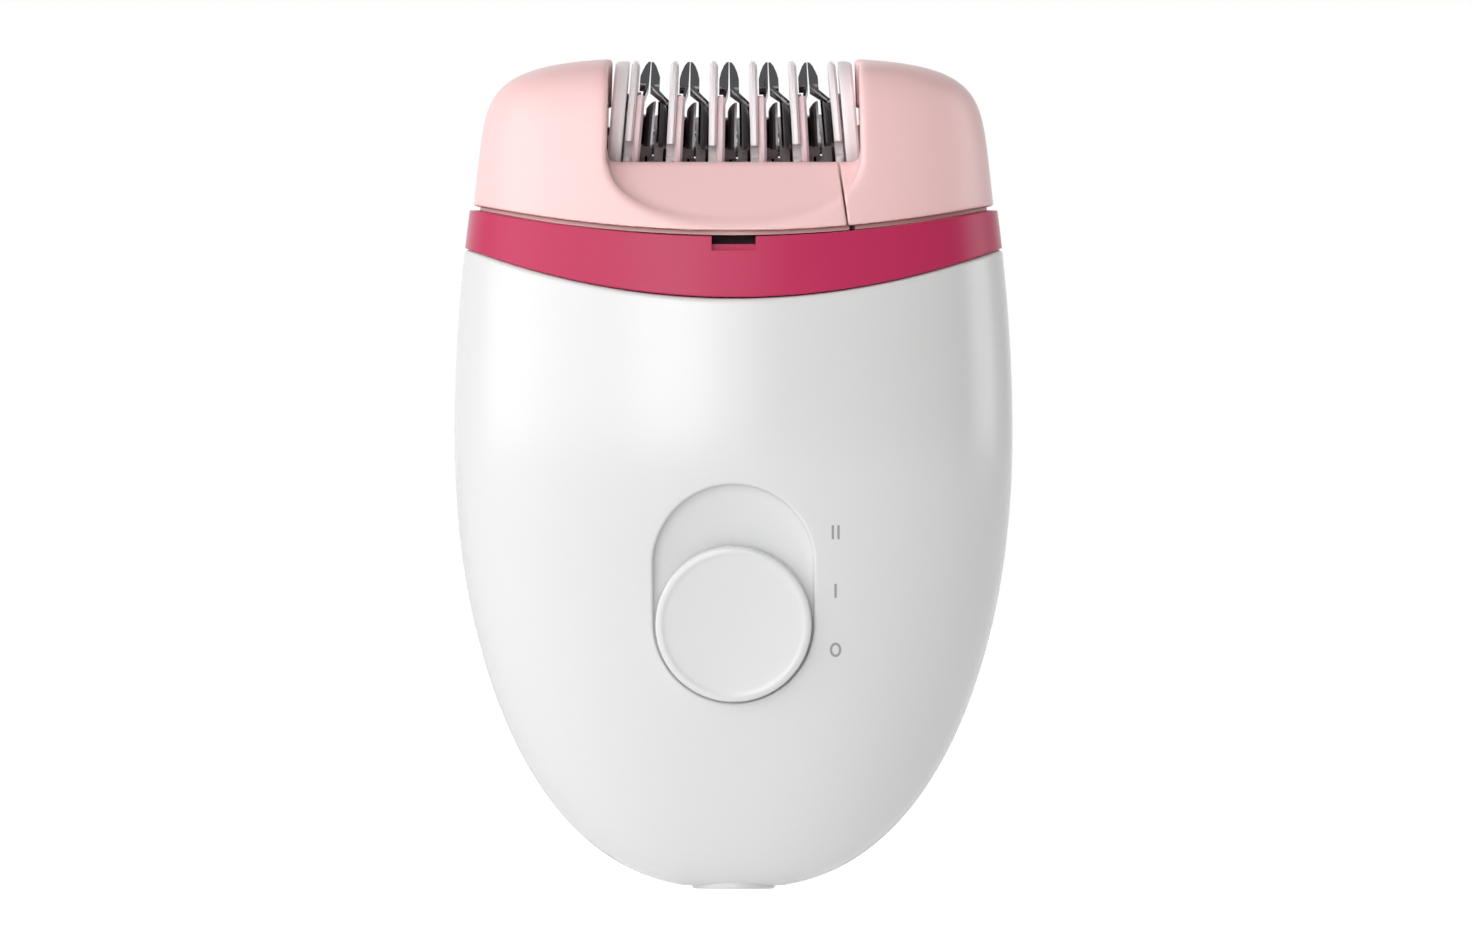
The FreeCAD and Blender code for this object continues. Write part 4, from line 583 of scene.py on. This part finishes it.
def head_casing(p):
    """The whole head casing: outer form less the bay, the scoops and the hollow inside."""
    x, y, z = p
    outer = soft_max(head_body(p), head_arc_distance(p), FOOT_EDGE_ROUND)
    casing = soft_max(outer, bay_distance(p), EDGE_ROUND)
    casing = soft_max(casing, scoop_distance(p), EDGE_ROUND)
    inner = head_body(p, WALL)
    thick_bay = np.maximum(np.hypot(y, z - AXLE_HEIGHT) - BAY_RADIUS - BAY_WALL, -z)
    side_pocket = soft_max(inner, POCKET_START - np.abs(x), 0.5)
    under = np.maximum(np.maximum(inner, np.abs(x) - BAY_HALF_WIDTH), z - (MOUTH_HEIGHT - BAY_WALL))
    under = np.maximum(np.maximum(under, -thick_bay), scoop_distance(p, BAY_WALL))
    casing = np.maximum(casing, -np.minimum(side_pocket, under))
    hole_height, hole_radius, hole_reach = AXLE_HOLE
    hole = np.maximum(np.hypot(y, z - hole_height) - hole_radius, np.abs(x) - hole_reach)
    return np.maximum(casing, -hole)


def seam_distance(p):
    """Signed distance to the slanted seam: positive to its right."""
    x, _y, z = p
    return (x - SEAM_PLACE) * math.cos(SEAM_LEAN) + (z - MOUTH_HEIGHT) * math.sin(SEAM_LEAN)


def surface_net(name, field, low, high, step):
    """A closed quad mesh of a field's zero surface: one point to each crossed cell, moved onto it."""
    axes = [np.arange(a - step, b + 2 * step, step) for a, b in zip(low, high)]
    grid = np.meshgrid(*axes, indexing="ij")
    value = field(grid).astype(np.float64)
    value[np.abs(value) < 1e-9] = 1e-9
    shape = [n - 1 for n in value.shape]
    total = np.zeros(shape + [3])
    count = np.zeros(shape)
    corner = np.indices(shape).astype(float)
    for axis in range(3):
        others = [k for k in range(3) if k != axis]
        for i in (0, 1):
            for j in (0, 1):
                start = [slice(0, n) for n in shape]
                for k, offset in zip(others, (i, j)):
                    start[k] = slice(offset, offset + shape[k])
                stop = list(start)
                stop[axis] = slice(1, 1 + shape[axis])
                a = value[tuple(start)]
                b = value[tuple(stop)]
                crossed = (a < 0) != (b < 0)
                share = np.where(crossed, a / np.where(crossed, a - b, 1.0), 0.0)
                for k in range(3):
                    offset = share if k == axis else (i if k == others[0] else j)
                    total[..., k] += np.where(crossed, offset, 0.0)
                count += crossed
    used = count > 0
    index = np.full(shape, -1)
    index[used] = np.arange(used.sum())
    places = [corner[k][used] + total[..., k][used] / count[used] for k in range(3)]
    points = np.stack([axes[k][0] + step * places[k] for k in range(3)])
    faces = []
    for axis in range(3):
        others = [k for k in range(3) if k != axis]
        inner = [slice(1, n) for n in shape]
        inner[axis] = slice(0, shape[axis])
        a = value[tuple(inner)]
        ahead = list(inner)
        ahead[axis] = slice(1, 1 + shape[axis])
        b = value[tuple(ahead)]
        at = np.argwhere((a < 0) != (b < 0))
        for k in others:
            at[:, k] += 1
        if len(at) == 0:
            continue
        first = np.eye(3, dtype=int)[others[0]]
        second = np.eye(3, dtype=int)[others[1]]
        quad = [index[tuple((at - s).T)] for s in (0 * first, first, first + second, second)]
        outward = (value[tuple(at.T)] < 0) == (axis != 1)
        quad = np.stack(quad, axis=1)
        quad[~outward] = quad[~outward][:, ::-1]
        faces.append(quad)
    for _ in range(4):
        here = field(points)
        slope = []
        for k in range(3):
            ahead = points.copy()
            ahead[k] += 0.01
            behind = points.copy()
            behind[k] -= 0.01
            slope.append((field(ahead) - field(behind)) / 0.02)
        slope = np.stack(slope)
        move = here * slope / np.maximum((slope**2).sum(0), 0.2)
        points = points - np.clip(move, -0.5 * step, 0.5 * step)
    return new_object(name, points.T, np.concatenate(faces).tolist(), SHARP_SHELL)


def make_head_covers():
    """The head's main cover and the cover to the right of the slanted seam."""
    step = 0.25

    def left_field(p):
        return soft_max(head_casing(p), seam_distance(p) + SEAM_HALF, SEAM_ROUND)

    def right_field(p):
        return soft_max(head_casing(p), SEAM_HALF - seam_distance(p), SEAM_ROUND)

    left = surface_net("head_cover_skin", left_field, *LEFT_BOX, step)
    right = surface_net("head_side_skin", right_field, *RIGHT_BOX, step)
    return left, right


# ---------------------------------------------------------------- materials


class Shader:
    """A material's node tree, with short helpers."""

    def __init__(self, name):
        self.material = bpy.data.materials.new(name)
        self.material.use_nodes = True
        self.tree = self.material.node_tree
        self.surface = self.tree.nodes["Principled BSDF"]
        self.place = self.tree.nodes.new("ShaderNodeTexCoord")

    def node(self, kind, **inputs):
        made = self.tree.nodes.new(kind)
        for name, value in inputs.items():
            made.inputs[name.replace("_", " ")].default_value = value
        return made

    def link(self, start, output, end, target):
        self.tree.links.new(start.outputs[output], end.inputs[target])

    def noise(self, scale, detail=3.0, roughness=0.5, stretch=(1.0, 1.0, 1.0)):
        mapping = self.tree.nodes.new("ShaderNodeMapping")
        mapping.inputs["Scale"].default_value = stretch
        self.link(self.place, "Object", mapping, "Vector")
        noise = self.node("ShaderNodeTexNoise", Scale=scale, Detail=detail, Roughness=roughness)
        self.link(mapping, "Vector", noise, "Vector")
        return noise

    def ramp(self, source, low, high, output="Fac"):
        ramp = self.tree.nodes.new("ShaderNodeMapRange")
        ramp.inputs["To Min"].default_value = low
        ramp.inputs["To Max"].default_value = high
        self.link(source, output, ramp, "Value")
        return ramp

    def vary_roughness(self, scale, low, high, **more):
        self.link(self.ramp(self.noise(scale, **more), low, high), "Result", self.surface, "Roughness")

    def vary_colour(self, scale, first, second, **more):
        mix = self.tree.nodes.new("ShaderNodeMix")
        mix.data_type = "RGBA"
        mix.inputs["A"].default_value = (*first, 1.0)
        mix.inputs["B"].default_value = (*second, 1.0)
        self.link(self.noise(scale, **more), "Fac", mix, "Factor")
        self.tree.links.new(mix.outputs["Result"], self.surface.inputs["Base Color"])

    def bump(self, scale, strength, depth, **more):
        bump = self.node("ShaderNodeBump", Strength=strength, Distance=depth)
        self.link(self.noise(scale, **more), "Fac", bump, "Height")
        self.link(bump, "Normal", self.surface, "Normal")

    def set(self, **inputs):
        for name, value in inputs.items():
            self.surface.inputs[name.replace("_", " ")].default_value = value


COLOUR_NOISE = 90.0  # scales of the noises, to the metre
GLOSS_NOISE = 160.0
SKIN_NOISE = 4200.0
METAL_COLOUR_NOISE = 700.0
METAL_GLOSS_NOISE = 900.0
METAL_SKIN_NOISE = 2500.0
RIPPLE_NOISE = 900.0
RIPPLE_STRETCH = (1.0, 1.0, 0.12)


def moulded(name, colour, roughness=0.3, spread=0.05, shine=0.5, subsurface=0.0, grain=0.03):
    """Moulded plastic: faint colour and gloss changes, and the fine skin of a polished mould."""
    shader = Shader(name)
    darker = tuple(c * 0.985 for c in colour)
    shader.vary_colour(COLOUR_NOISE, colour, darker, detail=2.0)
    shader.vary_roughness(GLOSS_NOISE, roughness - spread, roughness + spread, detail=4.0)
    shader.bump(SKIN_NOISE, grain, 0.00002, detail=2.0)
    shader.set(IOR=1.5, Specular_IOR_Level=shine)
    if subsurface:
        shader.set(Subsurface_Weight=subsurface, Subsurface_Scale=0.0012, Subsurface_Radius=(1.0, 0.6, 0.5))
    return shader.material


def metal(name, colour, roughness=0.2, brushed=0.0, grain=0.05, ripple=0.0):
    """Worked metal: fine scratches, drawn out along X when brushed, or long upright ripples when pressed."""
    shader = Shader(name)
    shader.set(Metallic=1.0)
    darker = tuple(c * 0.82 for c in colour)
    shader.vary_colour(METAL_COLOUR_NOISE, colour, darker, detail=4.0)
    stretch = (1.0, 1.0 + 20.0 * brushed, 1.0 + 20.0 * brushed)
    shader.vary_roughness(METAL_GLOSS_NOISE, roughness * 0.7, roughness * 1.4, detail=3.0, stretch=stretch)
    if ripple:
        shader.bump(RIPPLE_NOISE, ripple, 0.0002, detail=0.0, stretch=RIPPLE_STRETCH)
    else:
        shader.bump(METAL_SKIN_NOISE, grain, 0.00001, detail=2.0, stretch=stretch)
    return shader.material


MATERIALS = {
    "white_gloss": moulded("white_gloss", (0.69, 0.69, 0.69), 0.16, 0.02, shine=0.6, subsurface=0.05),
    "white_satin": moulded("white_satin", (0.69, 0.69, 0.69), 0.26, 0.03),
    "magenta_gloss": moulded("magenta_gloss", (0.48, 0.033, 0.10), 0.24, 0.03, shine=0.2, subsurface=0.03),
    "pink_gloss": moulded("pink_gloss", (0.87, 0.575, 0.57), 0.30, 0.04, shine=0.4, subsurface=0.08),
    "beige_plastic": moulded("beige_plastic", (0.62, 0.42, 0.39), 0.5, 0.05),
    "fin_white": moulded("fin_white", (0.86, 0.79, 0.80), 0.35, 0.05, subsurface=0.1),
    "spacer_pink": moulded("spacer_pink", (0.82, 0.62, 0.64), 0.35, 0.05, subsurface=0.1),
    "tweezer_chrome": metal("tweezer_chrome", (0.11, 0.11, 0.115), 0.08, ripple=0.5),
    "bright_steel": metal("bright_steel", (0.60, 0.60, 0.62), 0.18, 1.0),
    "zinc_steel": metal("zinc_steel", (0.52, 0.53, 0.56), 0.32, 0.3),
    "tin_plate": metal("tin_plate", (0.66, 0.66, 0.65), 0.28),
    "bronze": metal("bronze", (0.45, 0.26, 0.12), 0.40, grain=0.3),
    "brass": metal("brass", (0.70, 0.50, 0.18), 0.22, 0.4),
    "ferrite": moulded("ferrite", (0.035, 0.035, 0.038), 0.6, 0.1, grain=0.3),
    "copper_winding": metal("copper_winding", (0.55, 0.20, 0.08), 0.35),
    "natural_nylon": moulded("natural_nylon", (0.72, 0.69, 0.62), 0.45, 0.06, subsurface=0.1),
    "black_plastic": moulded("black_plastic", (0.02, 0.02, 0.02), 0.45, 0.08),
    "red_plastic": moulded("red_plastic", (0.42, 0.012, 0.012), 0.4, 0.05),
    "board_laminate": moulded("board_laminate", (0.22, 0.13, 0.045), 0.5, 0.08, grain=0.2),
    # painted shade: a near-black material that stands in for the shadow in the hollow inside the collar
    "painted_shade_inside": moulded("painted_shade_inside", (0.05, 0.012, 0.018), 0.6, 0.05),
    "print_grey": moulded("print_grey", (0.30, 0.30, 0.31), 0.45, 0.05),
}


def paint_shade_below(name, height):
    """Gives a node's faces below a height a near-black material: painted shade for the hollow inside the
    collar.
    """
    mesh = NODES[name].data
    mesh.materials.append(MATERIALS["painted_shade_inside"])
    for face in mesh.polygons:
        if (NODES[name].matrix_world @ face.center).z < height * MM:
            face.material_index = 1


def finish_cad_nodes():
    """Gives every CAD node the material of its slot, and the tweezer discs a fine bevel."""
    for row in frame["record"]["subparts"]:
        node = NODES[row["node"]]
        node.data.materials.clear()
        node.data.materials.append(MATERIALS[row["material_slot"]])
        if row["node"].startswith("tweezer_disc"):
            bevel = node.modifiers.new("fine_edges", "BEVEL")
            bevel.width = DISC_BEVEL * MM
            bevel.segments = 2
            bevel.limit_method = "ANGLE"
            bevel.angle_limit = math.radians(SHARP_SMALL)
    # painted shade: faces of the head frame and top deck below the collar's top are painted near-black,
    # standing in for the shadow inside the collar
    paint_shade_below("head_frame", COLLAR_ARC[0])
    paint_shade_below("top_deck", COLLAR_ARC[0])


def dress(piece, body, slot, *nodes):
    """Rides a piece on its body, gives it a finish and lets it stand for CAD nodes."""
    piece.data.materials.clear()
    piece.data.materials.append(MATERIALS[slot])
    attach(piece, body)
    if nodes:
        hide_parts(*nodes)
    return piece


# ---------------------------------------------------------------- stage, light and camera


def make_world():
    """The studio: banks of light all round. The camera sees plain white in their place."""
    scene = bpy.context.scene
    world = bpy.data.worlds.new("studio")
    scene.world = world
    world.use_nodes = True
    nodes = world.node_tree.nodes
    links = world.node_tree.links

    def maths(operation, first, second):
        made = nodes.new("ShaderNodeMath")
        made.operation = operation
        for socket, value in zip(made.inputs, (first, second)):
            if isinstance(value, float):
                socket.default_value = value
            else:
                links.new(value, socket)
        return made.outputs["Value"]

    place = nodes.new("ShaderNodeTexCoord")
    split = nodes.new("ShaderNodeSeparateXYZ")
    links.new(place.outputs["Generated"], split.inputs["Vector"])
    azimuth = maths("ARCTAN2", split.outputs["X"], maths("MULTIPLY", split.outputs["Y"], -1.0))
    turn = maths("ADD", maths("DIVIDE", azimuth, 2.0 * math.pi), 0.5)
    ramp = nodes.new("ShaderNodeValToRGB")
    links.new(turn, ramp.inputs["Fac"])
    stops = ramp.color_ramp.elements
    while len(stops) > 1:
        stops.remove(stops[0])
    stops[0].position = 0.0
    for angle, radiance in BANKS:
        stop = stops[0] if angle == BANKS[0][0] else stops.new(angle / 360.0 + 0.5)
        stop.color = (radiance, radiance, radiance, 1.0)

    def fade(start, stop, first, last):
        made = nodes.new("ShaderNodeMapRange")
        made.interpolation_type = "SMOOTHSTEP"
        made.inputs["From Min"].default_value = math.sin(math.radians(start))
        made.inputs["From Max"].default_value = math.sin(math.radians(stop))
        made.inputs["To Min"].default_value = first
        made.inputs["To Max"].default_value = last
        links.new(split.outputs["Z"], made.inputs["Value"])
        return made.outputs["Result"]

    bank = maths("MULTIPLY", ramp.outputs["Color"], fade(*BANK_TOP, 1.0, 0.0))
    light = maths("ADD", bank, fade(*CEILING, SURROUND, CEILING_GLOW))
    path = nodes.new("ShaderNodeLightPath")
    seen = nodes.new("ShaderNodeMix")
    seen.data_type = "FLOAT"
    seen.inputs["B"].default_value = 1.0
    links.new(path.outputs["Is Camera Ray"], seen.inputs["Factor"])
    links.new(light, seen.inputs["A"])
    nodes["Background"].inputs["Color"].default_value = (1.0, 1.0, 1.0, 1.0)
    links.new(seen.outputs["Result"], nodes["Background"].inputs["Strength"])
    scene.view_settings.view_transform = "Standard"


def make_stage():
    """A plain pale floor, which glows faintly round the object and fades to white further out."""
    corners = [(x * FLOOR_REACH, y * FLOOR_REACH, 0) for x, y in ((-1, -1), (1, -1), (1, 1), (-1, 1))]
    floor = new_object("floor", corners, [(0, 1, 2, 3)])
    shader = Shader("floor_white")
    shader.set(Base_Color=(0.6, 0.6, 0.6, 1.0), Roughness=0.9, Specular_IOR_Level=0.0)
    shader.set(Emission_Color=(1.0, 1.0, 1.0, 1.0))
    nodes = shader.tree.nodes
    distance = nodes.new("ShaderNodeVectorMath")
    distance.operation = "LENGTH"
    shader.link(shader.place, "Object", distance, 0)
    fade = nodes.new("ShaderNodeMapRange")
    fade.interpolation_type = "SMOOTHSTEP"
    fade.inputs["From Min"].default_value = FLOOR_FADE[0]
    fade.inputs["From Max"].default_value = FLOOR_FADE[1]
    fade.inputs["To Min"].default_value = FLOOR_NEAR
    fade.inputs["To Max"].default_value = 1.0
    shader.link(distance, "Value", fade, "Value")
    path = nodes.new("ShaderNodeLightPath")
    glow = nodes.new("ShaderNodeMix")
    glow.data_type = "FLOAT"
    glow.inputs["A"].default_value = FLOOR_GLOW
    shader.link(path, "Is Camera Ray", glow, "Factor")
    shader.tree.links.new(fade.outputs["Result"], glow.inputs["B"])
    shader.tree.links.new(glow.outputs["Result"], shader.surface.inputs["Emission Strength"])
    floor.data.materials.append(shader.material)


def make_camera():
    """A long lens straight in front, at the object's middle height."""
    data = bpy.data.cameras.new("camera")
    data.sensor_width = 36.0
    data.lens = data.sensor_width * CAMERA_DISTANCE / VIEW_WIDTH
    data.clip_end = 20.0
    camera = bpy.data.objects.new("camera", data)
    camera.location = (CAMERA_AIM[0], -CAMERA_DISTANCE, CAMERA_AIM[1])
    camera.rotation_euler = (math.pi / 2, 0.0, 0.0)
    bpy.context.scene.collection.objects.link(camera)
    bpy.context.scene.camera = camera


def make_high_lamp():
    """A soft lamp high on the left, which lights the scoop and the upper edges."""
    data = bpy.data.lights.new("high_lamp", "AREA")
    data.shape = "SQUARE"
    data.size = HIGH_LAMP_SIZE
    data.energy = HIGH_LAMP * math.pi * data.size**2
    lamp = bpy.data.objects.new("high_lamp", data)
    lamp.location = HIGH_LAMP_PLACE
    lamp.rotation_euler = (Vector(HIGH_LAMP_AIM) - lamp.location).to_track_quat("-Z", "Y").to_euler()
    lamp.visible_camera = False
    bpy.context.scene.collection.objects.link(lamp)


# ---------------------------------------------------------------- marks


def surface_depth(x, z):
    """The handle's front surface in y over a place in the front view."""
    width, depth = handle_half(z)
    return -depth * (1.0 - np.abs(x / width) ** SECTION_POWER) ** (1.0 / SECTION_POWER)


def printed(name, outlines, faces):
    """A thin printed mark that lies on the handle's front: outlines is a list of (x, z) points."""
    flat = np.array(outlines)
    y = surface_depth(flat[:, 0], flat[:, 1])
    low = np.stack((flat[:, 0], y + MARK_SUNK, flat[:, 1]), axis=-1)
    high = np.stack((flat[:, 0], y - MARK_PROUD, flat[:, 1]), axis=-1)
    count = len(flat)
    sides = {}
    for face in faces:
        for a, b in zip(face, face[1:] + face[:1]):
            sides[(a, b)] = True
    walls = [(b, a, a + count, b + count) for a, b in sides if (b, a) not in sides]
    all_faces = [tuple(reversed(f)) for f in faces] + [tuple(i + count for i in f) for f in faces] + walls
    return clean(new_object(name, np.concatenate((low, high)), all_faces), 0.001)


def bar_mark(name, x, z, width=0.30, height=1.75):
    """A short upright bar."""
    levels = np.linspace(z - height / 2, z + height / 2, 8)
    outline = [(x + side * width / 2, level) for level in levels for side in (-1, 1)]
    faces = [(2 * i, 2 * i + 1, 2 * i + 3, 2 * i + 2) for i in range(len(levels) - 1)]
    return printed(name, outline, faces)


def ring_mark(name, x, z, half_width=0.72, half_height=0.9, line=0.3):
    """A narrow upright ring."""
    turn = np.linspace(0.0, 2.0 * math.pi, 48, endpoint=False)
    outer = [(x + half_width * math.cos(t), z + half_height * math.sin(t)) for t in turn]
    inner = [(x + (half_width - line) * math.cos(t), z + (half_height - line) * math.sin(t)) for t in turn]
    count = len(turn)
    faces = [(i, (i + 1) % count, count + (i + 1) % count, count + i) for i in range(count)]
    return printed(name, outer + inner, faces)


def make_marks():
    """The generic position marks beside the slide: two bars, one bar and a ring."""
    off_height, one_height, two_height = MARK_HEIGHTS
    marks = [
        bar_mark("mark_two_left", MARK_PLACE - BAR_SPACING, two_height),
        bar_mark("mark_two_right", MARK_PLACE + BAR_SPACING, two_height),
        bar_mark("mark_one", MARK_PLACE, one_height),
        ring_mark("mark_off", MARK_PLACE, off_height),
    ]
    for mark in marks:
        mark.data.materials.append(MATERIALS["print_grey"])
        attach(mark, "handle")


# ---------------------------------------------------------------- the scene


def main():
    make_world()
    make_stage()
    make_camera()
    make_high_lamp()
    finish_cad_nodes()
    dress(make_front_shell(), "handle", "white_gloss", "front_shell")
    dress(make_rear_shell(), "handle", "white_gloss", "rear_shell")
    dress(make_collar_band(), "handle", "magenta_gloss", "collar_band")
    dress(make_knob(), "slide", "white_satin", "slide_knob")
    left, right = make_head_covers()
    dress(left, "head", "pink_gloss", "head_cover")
    dress(right, "head", "pink_gloss", "head_side_cover")
    make_marks()


main()
